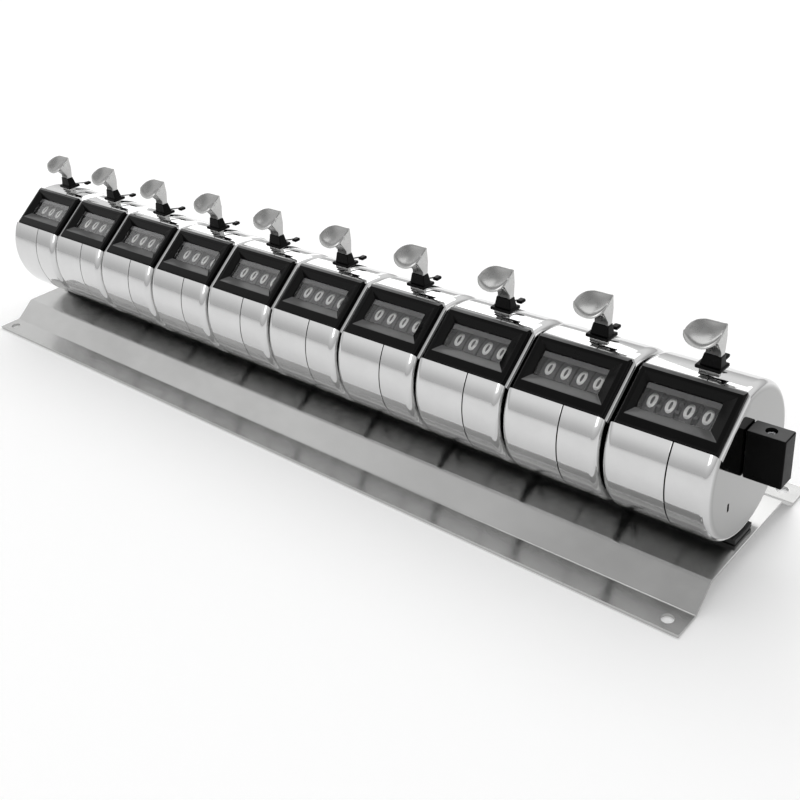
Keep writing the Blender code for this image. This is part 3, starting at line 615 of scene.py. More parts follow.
def single_wheel(index):
    """A wheel of the end unit, with its toothed disc and on the units wheel the ratchet."""
    start = wheel_start(index)
    rim_end = start + WHEEL_WIDTH - GEAR_WIDTH
    disc_end = start + WHEEL_WIDTH
    bore = rod(BORE_RADIUS, start - 2 * MM, disc_end + 3 * MM, BORE_SIDES)
    parts = [turned(wheel_rim(start, rim_end), WHEEL_SIDES)]
    disc = plate(gear_outline(WHEEL_RADIUS - CLEAR, GEAR_DEPTH, GEAR_TEETH), rim_end - CLEAR, disc_end)
    parts.append(worked(disc, cuts=[bore]))
    if index == 3:
        saw = plate(ratchet_outline(), disc_end - CLEAR, disc_end + RATCHET_WIDTH)
        parts.append(worked(saw, cuts=[bore]))
    return smooth(joined(parts, "wheel"))


def figure(digit, middle):
    """One printed figure, wrapped on the rim of a wheel whose width is centred at x = middle."""
    words = bpy.data.curves.new("figure", "FONT")
    words.body = str(digit)
    words.size = 1.0
    words.offset = FIGURE_BOLD
    words.resolution_u = 6
    shape = bmesh.new()
    shape.from_mesh(baked(in_scene("figure", words)))
    bmesh.ops.remove_doubles(shape, verts=shape.verts, dist=1e-5)
    across = [point.co.x for point in shape.verts]
    upwards = [point.co.y for point in shape.verts]
    left, right, low, high = min(across), max(across), min(upwards), max(upwards)
    for cut in range(1, FIGURE_CUTS):
        height = low + (high - low) * cut / FIGURE_CUTS
        geometry = [*shape.verts, *shape.edges, *shape.faces]
        bmesh.ops.bisect_plane(shape, geom=geometry, plane_co=(0.0, height, 0.0), plane_no=(0.0, 1.0, 0.0))
    width = FIGURE_WIDTH if digit != 1 else FIGURE_WIDTH / 2
    top = shape.faces[:]
    made = bmesh.ops.extrude_face_region(shape, geom=top)
    raised = {item for item in made["geom"] if isinstance(item, bmesh.types.BMVert)}
    for point in shape.verts:
        along = (point.co.x - (left + right) / 2) / (right - left) * width
        angle = ((point.co.y - (low + high) / 2) / (high - low) * FIGURE_HEIGHT) / WHEEL_RADIUS
        angle += FIGURE_TURN - digit * 2 * math.pi / 10
        radius = WHEEL_RADIUS + (FIGURE_PROUD if point in raised else -FIGURE_PROUD)
        spot = radius * (math.cos(angle) * OUTWARD + math.sin(angle) * UP_SLOPE)
        point.co = (middle + along, spot.y, spot.z)
    return mesh_of(shape, "figure")


def figures(indices, width):
    """The ten figures on each of some wheels."""
    parts = []
    for index in indices:
        parts += [figure(digit, wheel_start(index) + width / 2) for digit in range(10)]
    return joined(parts, "figures")


dusty_greys = ((0.058, 0.058, 0.059), (0.088, 0.088, 0.089))
wheel_bump = (0.25, 0.03 * MM)
wheel_grey = grained("dark grey wheel plastic", dusty_greys, (0.38, 0.55), (260.0,), (1600.0,), wheel_bump)
ink_whites = ((0.74, 0.74, 0.73), (0.88, 0.88, 0.87))
figure_white = grained("white figure ink", ink_whites, (0.4, 0.6), (2200.0,), (2200.0,), (0.2, 0.01 * MM))

stack_mesh = wheel_stack()
stack_figures = figures(range(4), WHEEL_WIDTH)
for number in range(1, UNITS):
    body = f"wheels_{number:02d}"
    pivot = on_shaft(number)
    node = f"number_wheels_{number:02d}"
    place(f"wheel_stack_{number:02d}", stack_mesh, wheel_grey, body, pivot, [node])
    place(f"wheel_figures_{number:02d}", stack_figures, figure_white, body, pivot)
for index, decade in enumerate(("thousands", "hundreds", "tens", "units")):
    body = f"{decade}_10"
    node = f"{decade}_wheel_10"
    place(f"{decade}_wheel", single_wheel(index), wheel_grey, body, on_shaft(UNITS), [node])
    rim_figures = figures([index], WHEEL_WIDTH - GEAR_WIDTH + CLEAR)
    place(f"{decade}_figures", rim_figures, figure_white, body, on_shaft(UNITS))


# Transfer pinions
# Small toothed steel pinions on a wire behind the end unit's wheels carry each full turn to the
# next wheel. They are the row's own solid, given a machined steel finish.
pinion_steel = steel_finish("machined steel", (0.3, 0.3, 0.3), (0.5, 0.5, 0.49), 0.25, 0.42)
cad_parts["transfer_pinions_10"].material_slots[0].material = pinion_steel


# Drum cases
# Two chromed pressed shells meet round each drum at a fine seam. Both ends are rounded into the
# side walls, a flat pocket in the front top takes the bezel, and a slot on top lets the lever
# through. Inside the row the end walls reach nearly to the next drum.
DRUM_RADIUS = 23.0 * MM
CASE_WALL = 1.0 * MM
RIM_ROUND = 2.6 * MM
RIM_STEPS = 12
WALL_RINGS = (0.0, 4.5 * MM, 12.0 * MM, 18.0 * MM)
INNER_ROUND = 2.0 * MM
SEAM_LEFT = 3.05 * MM
SEAM_RIGHT = 3.35 * MM
SEAM_EASE = 0.18 * MM
FLAT_OUT = 19.2 * MM
POCKET_LOW = -7.4 * MM
POCKET_STEPS = 8
POCKET_BLEND = 3.0
POCKET_EASE = 0.1 * MM
POCKET_LIP = (2.2 * MM, 2.65 * MM)
CASE_REACH = 16.25 * MM
SIDE_ROUND = 1.3 * MM
SIDE_STEPS = 6
DRUM_STEPS = 240
HOLE_SIDES = 40
STUD_TOP = -15.0 * MM
VIEW_LEFT = -11.9 * MM
VIEW_RIGHT = 9.7 * MM
VIEW_LOW = -0.7 * MM
VIEW_HIGH = 7.3 * MM
COLLAR = 0.8 * MM
RUNNING = 0.4 * MM
NECK_LEFT = -0.1 * MM
NECK_RIGHT = 2.3 * MM
NECK_FRONT = -0.2 * MM
SLOT_BACK = 11.6 * MM
NOTCH_PLACE = (-11.4 * MM, -7.6 * MM)
NOTCH_HALF = (0.5 * MM, 1.3 * MM)


def drum_middle(number):
    """Where a unit's case and window are centred."""
    return Vector((unit_x(number), 0.0, AXIS_Z))


def on_slope(mesh):
    """Turned from (along, up, out) to lie on the window's slope."""
    mesh.transform(Matrix.Rotation(WINDOW_TILT, 4, "X"))
    return mesh


def pocket_outline(out, low, ease):
    """The flat under the bezel: square at its foot, and eased where it runs out at the top."""
    lip_from, lip_to = POCKET_LIP
    outline = [(low - ease / 2, DRUM_RADIUS + MM), (low - ease / 2, out + lip_to), (low, out + lip_from)]
    outline += [(low, out + ease / 2), (low + ease / 2, out)]
    crease = math.acos(out / DRUM_RADIUS)
    for step in range(POCKET_STEPS + 1):
        turn = crease + math.radians(POCKET_BLEND) * (2 * step / POCKET_STEPS - 1)
        flat_out = min(DRUM_RADIUS * math.cos(turn), out)
        blend = math.radians(POCKET_BLEND) * DRUM_RADIUS * math.sin(crease)
        near = max(1 - abs(DRUM_RADIUS * math.cos(turn) - out) / blend, 0.0)
        outline.append((DRUM_RADIUS * math.sin(turn), flat_out - POCKET_EASE * near * near))
    return outline + [(PITCH, out - MM), (PITCH, out + 4 * MM)]


def pocket(out, low, ease, end_x=CASE_HALF, side_round=0.0):
    """A cutter for that flat, which also rounds its two sides down into the end walls."""
    rounding = [(0.0, 0.0)]
    if side_round:
        turns = [math.pi / 2 * step / SIDE_STEPS for step in range(1, SIDE_STEPS + 1)]
        rounding += [(side_round * math.sin(turn), side_round * (1 - math.cos(turn))) for turn in turns]
    right = [(abs(end_x) + 0.01 * MM - side_round + run, drop) for run, drop in rounding]
    right.append((PITCH, rounding[-1][1]))
    both = [(-x, drop) for x, drop in reversed(right)] + right
    return on_slope(loft([(x, pocket_outline(out - drop, low, ease)) for x, drop in both]))


def case_shell(end_x, seam_x):
    """One hollow half of a drum, from its end wall to the seam, with its openings cut."""
    side = math.copysign(1.0, end_x - seam_x)
    outer = [(radius, end_x) for radius in WALL_RINGS]
    for step in range(RIM_STEPS + 1):
        angle = math.pi / 2 * (1 - step / RIM_STEPS)
        radius = DRUM_RADIUS - RIM_ROUND + RIM_ROUND * math.cos(angle)
        outer.append((radius, end_x - side * RIM_ROUND * (1 - math.sin(angle))))
    across = seam_x - outer[-1][1]
    outer += [(DRUM_RADIUS, outer[-1][1] + across * share) for share in (0.25, 0.5, 0.75)]
    outer += [
        (DRUM_RADIUS, seam_x + side * SEAM_EASE),
        (DRUM_RADIUS - SEAM_EASE / 3, seam_x + side * SEAM_EASE / 3),
        (DRUM_RADIUS - SEAM_EASE, seam_x),
        (0.0, seam_x),
    ]
    solid = turned(outer, DRUM_STEPS)
    inner_end = end_x - side * CASE_WALL
    inner_radius = DRUM_RADIUS - CASE_WALL
    inner = [
        (0.0, seam_x - side * MM),
        (inner_radius, seam_x - side * MM),
        (inner_radius, inner_end - side * INNER_ROUND),
        (inner_radius - INNER_ROUND / 2, inner_end - side * INNER_ROUND / 5),
        (inner_radius - INNER_ROUND, inner_end),
        (0.0, inner_end),
    ]
    core = turned(inner, DRUM_STEPS // 2)
    core = worked(core, cuts=[pocket(FLAT_OUT - CASE_WALL, POCKET_LOW - CASE_WALL, SEAM_EASE)])
    grow = COLLAR + CLEAR
    window_low = (VIEW_LEFT - grow, VIEW_LOW - grow, WHEEL_RADIUS)
    window = on_slope(block(window_low, (VIEW_RIGHT + grow, VIEW_HIGH + grow, PITCH)))
    slot = block(
        (NECK_LEFT - RUNNING, NECK_FRONT - RUNNING, WHEEL_RADIUS), (NECK_RIGHT + RUNNING, SLOT_BACK, PITCH)
    )
    hole = rod(BORE_RADIUS + CLEAR, -PITCH, PITCH, HOLE_SIDES)
    hole.transform(Matrix.Translation((0.0, SHAFT.y, SHAFT.z)))
    cuts = [pocket(FLAT_OUT, POCKET_LOW, SEAM_EASE, end_x, SIDE_ROUND), core, window, slot, hole]
    if end_x < 0:
        cuts.append(upright_drill(STUD_HOLE_RADIUS, -PITCH, STUD_TOP, STUD_SHIFT, 0.0, STUD_SIDES))
    else:
        (y, z), (half_y, half_z) = NOTCH_PLACE, NOTCH_HALF
        cuts.append(block((inner_end - MM, y - half_y, z - half_z), (end_x + MM, y + half_y, z + half_z)))
    return smooth(worked(solid, cuts=cuts), 30.0)


def facing(tree, axis, from_share, to_share):
    """From 0 to 1 as the surface turns to face one direction of the piece itself."""
    where = tree.nodes.new("ShaderNodeTexCoord")
    towards = tree.nodes.new("ShaderNodeVectorMath")
    towards.operation = "DOT_PRODUCT"
    towards.inputs[1].default_value = axis
    tree.links.new(where.outputs["Normal"], towards.inputs[0])
    return spread(tree, towards.outputs["Value"], 0.0, 1.0, from_share, to_share)


chrome, tree, shader, _ = shader_tree("bright chrome plate")
wobble = grain_noise(tree, 55.0, detail=2.0)
smears = grain_noise(tree, 150.0, detail=6.0)
scratches = grain_noise(tree, 1800.0, along=0.05, detail=3.0)
bright = tint(tree, smears, (0.6, 0.6, 0.6), (0.68, 0.68, 0.68))
# End walls that face to the right get a darker plating colour: painted shade.
end_wall_painted_shade = facing(tree, (1.0, 0.0, 0.0), 0.8, 0.99)
plated = tint(tree, end_wall_painted_shade, bright, (0.34, 0.34, 0.337))
surface(tree, shader, plated, spread(tree, smears, 0.04, 0.11), metal=1.0)
relief(tree, shader, [(wobble, 0.15, 0.12 * MM), (scratches, 0.03, 0.01 * MM)])

shells = {}
for hand, sign, seam_x, end_unit in (("left", -1, SEAM_LEFT, 1), ("right", 1, SEAM_RIGHT, UNITS)):
    shells[hand] = [case_shell(sign * CASE_REACH, seam_x)] * UNITS
    shells[hand][end_unit - 1] = case_shell(sign * CASE_HALF, seam_x)
for number in range(1, UNITS + 1):
    for hand, meshes in shells.items():
        name = f"{hand}_drum_shell_{number:02d}"
        node = f"case_{hand}_shell_{number:02d}"
        place(name, meshes[number - 1], chrome, "counter_body", drum_middle(number), [node])


# Window bezels
# A glossy black moulded frame is snapped into each opening by a collar. Its rim stands proud of
# the case, and four bevels slope down from the rim to the view.
BEZEL_HALF = 15.0 * MM
BEZEL_LOW = -7.1 * MM
BEZEL_HIGH = 11.5 * MM
BEZEL_FOOT = 19.5 * MM
BEZEL_TOP = 21.0 * MM
BEZEL_CHAMFER = 0.5 * MM
BEZEL_TOP_CHAMFER = 1.1 * MM
BEZEL_RIM = 1.7 * MM
BEZEL_FOOT_RIM = 3.3 * MM
BEZEL_DEPTH = 1.9 * MM
COLLAR_FOOT = 17.5 * MM


def frame_of(loops):
    """A closed ring through rectangles (left, right, low, high, out), in order round its section."""
    shape = bmesh.new()
    rings = []
    for left, right, low, high, out in loops:
        corners = ((left, low), (right, low), (right, high), (left, high))
        rings.append([shape.verts.new((u, v, out)) for u, v in corners])
    for one, other in zip(rings, rings[1:] + rings[:1]):
        for step in range(4):
            after = (step + 1) % 4
            shape.faces.new((one[step], one[after], other[after], other[step]))
    return mesh_of(shape, "frame")


def grown(rectangle, by, out):
    """A loop for frame_of: a rectangle made wider all round, at a height above the slope."""
    left, right, low, high = rectangle
    return (left - by, right + by, low - by, high + by, out)


def window_bezel():
    """The frame's section goes up its outside, over the rim, down the bevels and round the collar."""
    outside = (-BEZEL_HALF, BEZEL_HALF, BEZEL_LOW, BEZEL_HIGH)
    sight = (VIEW_LEFT, VIEW_RIGHT, VIEW_LOW, VIEW_HIGH)
    inset = BEZEL_HALF - BEZEL_CHAMFER
    rim_half = BEZEL_HALF - BEZEL_RIM
    rim_high = BEZEL_HIGH - BEZEL_TOP_CHAMFER
    loops = [
        grown(outside, 0.0, BEZEL_FOOT),
        grown(outside, 0.0, BEZEL_TOP - BEZEL_CHAMFER),
        (-inset, inset, BEZEL_LOW + BEZEL_CHAMFER, rim_high, BEZEL_TOP),
        (-rim_half, rim_half, BEZEL_LOW + BEZEL_FOOT_RIM, rim_high - MM, BEZEL_TOP),
        grown(sight, 0.0, BEZEL_TOP - BEZEL_DEPTH),
        grown(sight, 0.0, COLLAR_FOOT),
        grown(sight, COLLAR, COLLAR_FOOT),
        grown(sight, COLLAR, BEZEL_FOOT),
    ]
    return smooth(on_slope(worked(frame_of(loops), edge=0.2 * MM, edge_steps=3, edge_angle=18.0)), 25.0)


def black_plastic(name, dark, light, rough_low, rough_high, shine, top_light_and_dusting=(0.0, 0.9, 1.0)):
    """Moulded black, with a given grey on the faces that look up most: a dusting, and painted light from
    above.
    """
    made, tree, shader, _ = shader_tree(name)
    moulding = grain_noise(tree, 1500.0)
    wear = grain_noise(tree, 120.0, detail=6.0)
    # Faces that look up are made greyer: partly dust, partly painted light falling from above.
    grey, least_up, most_up = top_light_and_dusting
    up = facing(tree, (0.0, 0.0, 1.0), least_up, most_up)
    top_light_and_dusting_share = maths(tree, "MULTIPLY", up, spread(tree, wear, 0.7, 1.0))
    black = tint(tree, wear, (dark, dark, dark), (light, light, light))
    black_with_top_light_and_dusting = tint(tree, top_light_and_dusting_share, black, (grey, grey, grey))
    surface(tree, shader, black_with_top_light_and_dusting, spread(tree, wear, rough_low, rough_high))
    shader.inputs["Specular IOR Level"].default_value = shine
    relief(tree, shader, [(moulding, 0.1, 0.02 * MM)])
    return made


# The bezel's top chamfer and other upward faces get a grey dusting that is also painted light from above.
bezel_black = black_plastic("glossy black moulding", 0.002, 0.005, 0.1, 0.2, 0.1, top_light_and_dusting=(0.12, 0.86, 0.93))
bezel_mesh = window_bezel()
for number in range(1, UNITS + 1):
    name = f"bezel_frame_{number:02d}"
    node = f"window_bezel_{number:02d}"
    place(name, bezel_mesh, bezel_black, "counter_body", drum_middle(number), [node])


# Window lenses
# A clear flat pane lies in the bottom of each bezel, pressed in against the collar, so the
# wheels show through it. A grey strip stuck behind its upper edge masks the next figures.
LENS_GAP = 0.08 * MM
LENS_FOOT = 18.55 * MM
LENS_TOP = 18.85 * MM
MASK_LOW = 5.6 * MM
MASK_FOOT = 18.3 * MM


def clear_pane():
    """The pane fills the view, with a hair's gap at the bezel."""
    pane = block(
        (VIEW_LEFT + LENS_GAP, VIEW_LOW + LENS_GAP, LENS_FOOT),
        (VIEW_RIGHT - LENS_GAP, VIEW_HIGH - LENS_GAP, LENS_TOP),
    )
    return smooth(on_slope(worked(pane, edge=0.05 * MM)), 10.0)


def mask_strip():
    """A strip as wide as the pane, behind its upper edge."""
    strip = block(
        (VIEW_LEFT + LENS_GAP, MASK_LOW, MASK_FOOT),
        (VIEW_RIGHT - LENS_GAP, VIEW_HIGH - LENS_GAP, LENS_FOOT),
    )
    return smooth(on_slope(worked(strip, edge=0.04 * MM)), 10.0)


clear, tree, shader, output = shader_tree("clear window plastic")
pane_wave = grain_noise(tree, 70.0, detail=1.0)
pane_wear = grain_noise(tree, 900.0, detail=6.0)
tree.links.new(spread(tree, pane_wear, 0.02, 0.06), shader.inputs["Roughness"])
relief(tree, shader, [(pane_wave, 0.05, 0.05 * MM)])
shader.inputs["Base Color"].default_value = (0.97, 0.97, 0.97, 1.0)
shader.inputs["Transmission Weight"].default_value = 1.0
shader.inputs["IOR"].default_value = 1.49
lamp_ray = tree.nodes.new("ShaderNodeLightPath")
let_through = tree.nodes.new("ShaderNodeBsdfTransparent")
pane_mix = tree.nodes.new("ShaderNodeMixShader")
tree.links.new(lamp_ray.outputs["Is Shadow Ray"], pane_mix.inputs["Fac"])
tree.links.new(shader.outputs["BSDF"], pane_mix.inputs[1])
tree.links.new(let_through.outputs["BSDF"], pane_mix.inputs[2])
tree.links.new(pane_mix.outputs["Shader"], output.inputs["Surface"])

pane_mesh = clear_pane()
mask_mesh = mask_strip()
for number in range(1, UNITS + 1):
    middle = drum_middle(number)
    place(f"window_lens_{number:02d}", pane_mesh, clear, "counter_body", middle)
    place(f"window_mask_{number:02d}", mask_mesh, wheel_grey, "counter_body", middle)


# Thumb levers
# A dished plated thumb pad is brazed to an upright fin, and the fin is pressed into a tapered
# black stem with a skirt and a small tail. A metal neck goes through the slot, and inside the
# case a steel arm joins it to a hub on the shaft.
STEM_WIDTH = 6.4 * MM
STEM_SHIFT = 3.0 * MM
STEM_FRONT = -1.1 * MM
STEM_LEFT = STEM_SHIFT - STEM_WIDTH / 2
STEM_RIGHT = STEM_SHIFT + STEM_WIDTH / 2
STEM_TOP = 30.0 * MM
STEM_TOP_DEPTH = 2.5 * MM
STEM_FOOT_DEPTH = 4.8 * MM
SKIRT_OUT = 0.7 * MM
STEM_TAPER = 1.5 * MM
TAIL_LEFT = 0.8 * MM
TAIL_WIDTH = 2.1 * MM
TAIL_FRONT = 9.0 * MM
TAIL_LENGTH = 2.5 * MM
TAIL_FOOT = 23.2 * MM
SKIRT_THICK = 1.1 * MM
SKIRT_FOOT = 25.2 * MM
BAR_FOOT = 18.6 * MM
BAR_TOP = 21.0 * MM
BAR_DEPTH = 3.4 * MM
ARM_FROM = 10.85 * MM
ARM_THICK = 1.0 * MM
HUB_RADIUS = 4.4 * MM
PAWL_DEPTH = 1.4 * MM
FIN_THICK = 0.8 * MM
FIN_APEX = (1.9 * MM, 38.3 * MM)
FIN_CORNER = (-3.4 * MM, 34.9 * MM)
FIN_NECK_DEPTH = 2.3 * MM
FIN_ROOT = 2.0 * MM
PAD_LENGTH = 9.5 * MM
PAD_THICK = 0.8 * MM
PAD_DISH = 0.9 * MM
PAD_CURL = 0.3 * MM
PAD_AT_FIN = 3.4 * MM
PAD_WIDTH = 8.7 * MM
PAD_TIP = 5.0 * MM
PAD_WIDEST = 0.45
PAD_CORNER = 0.55
PAD_DISH_AT_FIN = 0.12
PAD_ROLL = 0.9 * MM
PAD_ROLL_FROM = 0.64
PAD_ALONG = 26
PAD_ACROSS = 20
STRIP_BACK = 0.12 * MM
STRIP_BELOW_PAD = 0.9 * MM
TONGUE_FOOT = 23.85 * MM
PAD_FACING = (0.0, -0.54, 0.842)
ARM_INSET = 0.1 * MM
ARM_FOOT_FRONT = 0.7 * HUB_RADIUS
ARM_FOOT_BACK = 0.9 * HUB_RADIUS
HUB_SIDES = 48


def quarter(share):
    """The height of a quarter circle at a share of its width, from 0 at its end to 1 at its middle."""
    return math.sqrt(max(1 - (1 - min(max(share, 0.0), 1.0)) ** 2, 0.0))


def dished_pad():
    """A leaf that starts narrow at the fin's top, swells to the front and ends in a round tip."""
    apex = Vector((0.0, *FIN_APEX))
    corner = Vector((0.0, *FIN_CORNER))
    slope = (corner - apex).normalized()
    normal = Vector((0.0, slope.z, -slope.y))
    shape = bmesh.new()
    bmesh.ops.create_grid(shape, x_segments=PAD_ALONG, y_segments=PAD_ACROSS, size=0.5)
    root_x = STEM_RIGHT - FIN_THICK / 2
    for point in shape.verts:
        run = point.co.x + 0.5
        side = 2 * point.co.y
        reach = 0.5 - 0.5 * math.cos(run * math.pi)
        tip_share = quarter((1 - reach) / (1 - PAD_WIDEST)) if reach > PAD_WIDEST else 0.0
        front = PAD_TIP + (PAD_WIDTH - PAD_TIP) * tip_share
        if reach <= PAD_WIDEST:
            front = PAD_AT_FIN + (PAD_WIDTH - PAD_AT_FIN) * quarter(reach / PAD_WIDEST)
        back = PAD_TIP * (1 - quarter((1 - reach) / (1 - PAD_CORNER)))
        hollow = PAD_DISH * (1 - side * side) * math.sin(math.pi * min(reach + PAD_DISH_AT_FIN, 1.0))
        rolled = max(-side - PAD_ROLL_FROM, 0.0) / (1 - PAD_ROLL_FROM)
        height = PAD_CURL * reach**4 - hollow - PAD_ROLL * rolled * rolled
        down = (front + back) / 2 - side * (front - back) / 2
        point.co = apex + slope * down + normal * height
        point.co.x = root_x - reach * PAD_LENGTH
    obj = in_scene("pad", mesh_of(shape, "pad", turn_out=False))
    thickness = obj.modifiers.new("thickness", "SOLIDIFY")
    thickness.thickness = PAD_THICK
    thickness.offset = 0.0
    rounded = obj.modifiers.new("rounded edge", "SUBSURF")
    rounded.levels = 1
    return baked(obj)


def to_pivot(mesh):
    """Moved from the drum's middle to the shaft that the lever swings on."""
    mesh.transform(Matrix.Translation((0.0, -SHAFT.y, -SHAFT.z)))
    return mesh


def pad_and_fin():
    """The plated parts: pad, side fin, front strip, and the tongue and neck below the stem."""
    neck_back = STEM_FRONT + STEM_TOP_DEPTH / 2 + FIN_NECK_DEPTH / 2
    fin_view = [
        (neck_back - FIN_NECK_DEPTH, STEM_TOP - FIN_ROOT),
        (neck_back, STEM_TOP - FIN_ROOT),
        (neck_back, STEM_TOP),
        (neck_back + 0.3 * FIN_NECK_DEPTH, (STEM_TOP + FIN_APEX[1]) / 2),
        FIN_APEX,
        FIN_CORNER,
        (neck_back - FIN_NECK_DEPTH, STEM_TOP + FIN_NECK_DEPTH / 2),
    ]
    fin = plate(fin_view, STEM_RIGHT - FIN_THICK - CLEAR / 2, STEM_RIGHT - CLEAR / 2)
    fin = worked(fin, edge=0.18 * MM, edge_steps=3, edge_angle=40.0)
    front = neck_back - FIN_NECK_DEPTH + STRIP_BACK
    bend_z = STEM_TOP + FIN_NECK_DEPTH / 2
    top_y, top_z = FIN_CORNER[0] + STRIP_BACK, FIN_CORNER[1] - STRIP_BELOW_PAD
    strip_view = [
        (front, STEM_TOP - FIN_ROOT),
        (front + FIN_THICK, STEM_TOP - FIN_ROOT),
        (front + FIN_THICK, bend_z + FIN_THICK / 3),
        (top_y + FIN_THICK, top_z),
        (top_y, top_z),
        (front, bend_z),
    ]
    strip = plate(strip_view, STEM_LEFT + STEM_TAPER + CLEAR, STEM_RIGHT - FIN_THICK / 2)
    neck_top = SKIRT_FOOT + CLEAR
    tongue_back = (STEM_RIGHT - CLEAR, NECK_FRONT + CLEAR, neck_top)
    tongue = block((STEM_LEFT + CLEAR, STEM_FRONT, TONGUE_FOOT), tongue_back)
    neck = block((NECK_LEFT, NECK_FRONT, BAR_FOOT), (NECK_RIGHT, STEM_FRONT + STEM_FOOT_DEPTH, neck_top))
    plates = [worked(piece, edge=0.15 * MM) for piece in (strip, tongue, neck)]
    return to_pivot(smooth(joined([dished_pad(), fin, *plates], "pad and fin"), 40.0))


def stem_and_skirt():
    """The black moulding: the tapered stem, its skirt, and the tail on a thin link."""
    back = STEM_FRONT + STEM_FOOT_DEPTH
    side_view = [(STEM_FRONT, SKIRT_FOOT), (back - MM, SKIRT_FOOT)]
    side_view += [(STEM_FRONT + STEM_TOP_DEPTH, STEM_TOP), (STEM_FRONT, STEM_TOP)]
    stem = plate(side_view, STEM_LEFT, STEM_RIGHT)
    skirt = block(
        (STEM_LEFT - SKIRT_OUT, STEM_FRONT - SKIRT_OUT, SKIRT_FOOT),
        (STEM_RIGHT + SKIRT_OUT / 2, back, SKIRT_FOOT + SKIRT_THICK),
    )
    tail = block(
        (TAIL_LEFT, TAIL_FRONT, TAIL_FOOT),
        (TAIL_LEFT + TAIL_WIDTH, TAIL_FRONT + TAIL_LENGTH, TAIL_FOOT + SKIRT_THICK),
    )
    link_top = SKIRT_FOOT + SKIRT_THICK - CLEAR
    tail_top = TAIL_FOOT + SKIRT_THICK - CLEAR
    link_view = [(back - 2 * MM, link_top - CLEAR), (TAIL_FRONT + MM, tail_top - CLEAR)]
    link_view += [(TAIL_FRONT + MM, tail_top), (back - 2 * MM, link_top)]
    link = plate(link_view, TAIL_LEFT - CLEAR, TAIL_LEFT + CLEAR)
    for point in stem.vertices:
        if point.co.z > SKIRT_FOOT + MM and point.co.x < STEM_SHIFT:
            point.co.x += STEM_TAPER
    parts = [worked(stem, edge=0.3 * MM, edge_steps=3, edge_angle=20.0)]
    parts += [worked(piece, edge=0.4 * MM, edge_steps=4) for piece in (skirt, tail)]
    parts.append(link)
    return to_pivot(smooth(joined(parts, "stem"), 35.0))


def arm_and_hub(with_pawl):
    """The steel parts inside: a bar across from the neck, the flat arm and its hub on the shaft."""
    arm_end = ARM_FROM + ARM_THICK
    bar = block(
        (NECK_RIGHT - RUNNING, NECK_FRONT + ARM_INSET, BAR_FOOT + ARM_INSET),
        (arm_end - 2 * ARM_INSET, STEM_FRONT + BAR_DEPTH, BAR_TOP - ARM_INSET),
    )
    arm_view = [(NECK_FRONT, BAR_TOP), (SHAFT.y - ARM_FOOT_FRONT, SHAFT.z)]
    arm_view += [(SHAFT.y + ARM_FOOT_BACK, SHAFT.z), (STEM_FRONT + BAR_DEPTH + ARM_INSET, BAR_TOP)]
    arm = plate(arm_view, ARM_FROM + ARM_INSET, arm_end - ARM_INSET)
    ring = [(BORE_RADIUS, ARM_FROM), (HUB_RADIUS, ARM_FROM), (HUB_RADIUS, arm_end), (BORE_RADIUS, arm_end)]
    hub = turned(ring, HUB_SIDES)
    bore = rod(BORE_RADIUS, 0.0, PITCH, HUB_SIDES)
    for round_piece in (hub, bore):
        round_piece.transform(Matrix.Translation((0.0, SHAFT.y, SHAFT.z)))
    parts = [bar, worked(arm, cuts=[bore]), hub]
    if with_pawl:
        foot = SHAFT.z + RATCHET_RADIUS + RUNNING
        parts.append(
            block(
                (ARM_FROM - RATCHET_WIDTH - RUNNING / 2, SHAFT.y, foot),
                (arm_end - 2 * ARM_INSET, SHAFT.y + PAWL_DEPTH, foot + PAWL_DEPTH),
            )
        )
    return to_pivot(smooth(joined(parts, "arm"), 35.0))


lever_plate, tree, shader, _ = shader_tree("satin nickel plate")
thumb_rub = grain_noise(tree, 320.0, detail=6.0)
satin = grain_noise(tree, 2600.0, along=0.1)
# The pad's upper face gets a darker plating colour than the fin, strip and neck: painted shade.
pad_face_painted_shade = tint(tree, thumb_rub, (0.3, 0.3, 0.297), (0.37, 0.37, 0.366))
pad_face_painted_shade_mask = facing(tree, PAD_FACING, 0.86, 0.97)
nickel_with_painted_shade = tint(tree, pad_face_painted_shade_mask, (0.52, 0.52, 0.515), pad_face_painted_shade)
surface(tree, shader, nickel_with_painted_shade, spread(tree, thumb_rub, 0.22, 0.34), metal=1.0)
relief(tree, shader, [(satin, 0.1, 0.02 * MM)])
stem_black = black_plastic("black stem moulding", 0.001, 0.004, 0.2, 0.34, 0.06)

pad_mesh = pad_and_fin()
stem_mesh = stem_and_skirt()
plain_arm = arm_and_hub(with_pawl=False)
pawl_arm = arm_and_hub(with_pawl=True)
for number in range(1, UNITS + 1):
    pivot = on_shaft(number)
    body = f"lever_{number:02d}"
    node = f"thumb_lever_{number:02d}"
    arm_mesh = pawl_arm if number == UNITS else plain_arm
    place(f"lever_pad_{number:02d}", pad_mesh, lever_plate, body, pivot, [node])
    place(f"lever_stem_{number:02d}", stem_mesh, stem_black, body, pivot)
    place(f"lever_arm_{number:02d}", arm_mesh, steel, body, pivot)


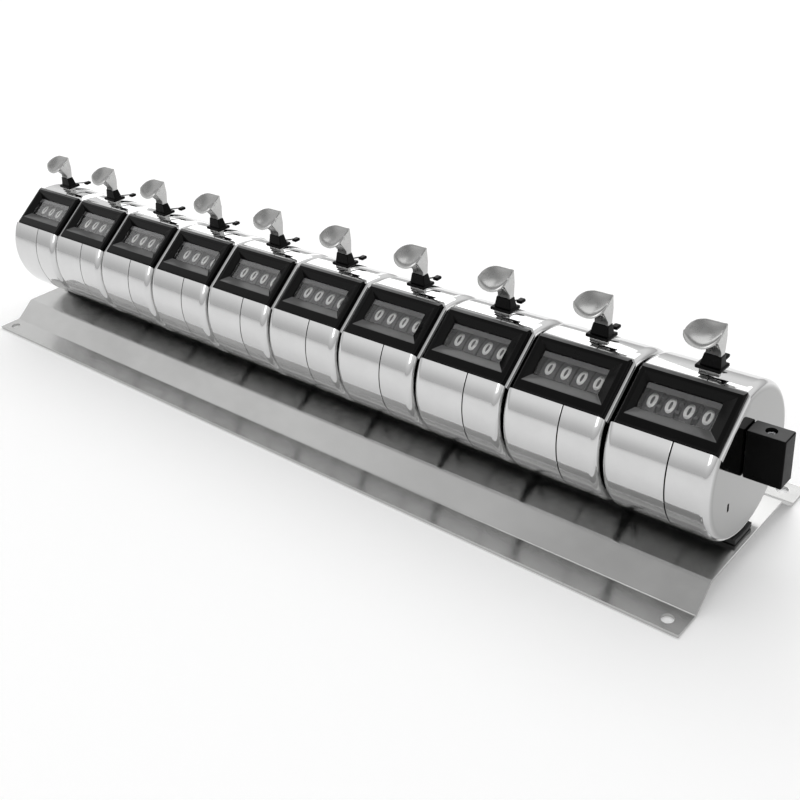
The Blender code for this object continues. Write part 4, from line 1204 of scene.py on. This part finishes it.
# Return spring
# A turn and a bit of spring wire round the shaft brings the end unit's lever back up. It is
# the row's own solid, in hard drawn wire.
spring_wire = steel_finish("spring wire", (0.28, 0.28, 0.29), (0.44, 0.44, 0.45), 0.18, 0.3)
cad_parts["lever_return_spring_10"].material_slots[0].material = spring_wire


# Reset knob
# A tall thin block of black plastic with rounded edges is pushed on the end of the shaft and
# held by a grub screw down a hole in its top.
KNOB_LENGTH = 10.4 * MM
KNOB_THICK = 6.4 * MM
KNOB_HEIGHT = 14.8 * MM
KNOB_EDGE = 0.5 * MM
KNOB_REACH = 0.25 * MM
KNOB_BORE_DEPTH = 7.6 * MM
SCREW_RADIUS = 1.3 * MM
SCREW_LENGTH = 4.2 * MM
SCREW_HEX = 0.75 * MM
SCREW_CHAMFER = 0.12 * MM


def reset_knob():
    """The block, bored from its left end for the shaft and from its top for the screw."""
    start = ROW_HALF + KNOB_GAP
    body = block(
        (start - KNOB_REACH, -KNOB_THICK / 2, -KNOB_HEIGHT / 2),
        (start + KNOB_LENGTH, KNOB_THICK / 2, KNOB_HEIGHT / 2),
    )
    body = worked(body, edge=KNOB_EDGE, edge_steps=5)
    bore = rod(BORE_RADIUS, start - MM, start + KNOB_BORE_DEPTH, HOLE_SIDES)
    hole = upright_drill(SCREW_RADIUS + CLEAR, 0.0, KNOB_HEIGHT, start + KNOB_LENGTH / 2, 0.0, HOLE_SIDES)
    return smooth(worked(body, cuts=[bore, hole]), 30.0)


def grub_screw():
    """The screw stands on the shaft, with a six-sided socket in its top."""
    foot = SHAFT_RADIUS + CLEAR
    x = ROW_HALF + KNOB_GAP + KNOB_LENGTH / 2
    screw = upright_drill(SCREW_RADIUS, foot, foot + SCREW_LENGTH, x, 0.0, HOLE_SIDES)
    socket = upright_drill(SCREW_HEX, foot + SCREW_LENGTH * 2 / 3, foot + SCREW_LENGTH + CLEAR, x, 0.0, 6)
    return smooth(worked(screw, cuts=[socket], edge=SCREW_CHAMFER), 30.0)


# The knob's top gets a grey dusting that is also painted light from above.
knob_black = black_plastic("black knob plastic", 0.001, 0.003, 0.24, 0.36, 0.05, top_light_and_dusting=(0.115, 0.8, 0.98))
place("knob_block", reset_knob(), knob_black, "reset", shaft_at, ["reset_knob"])
place("grub_screw", grub_screw(), steel, "reset", shaft_at, ["knob_set_screw"])
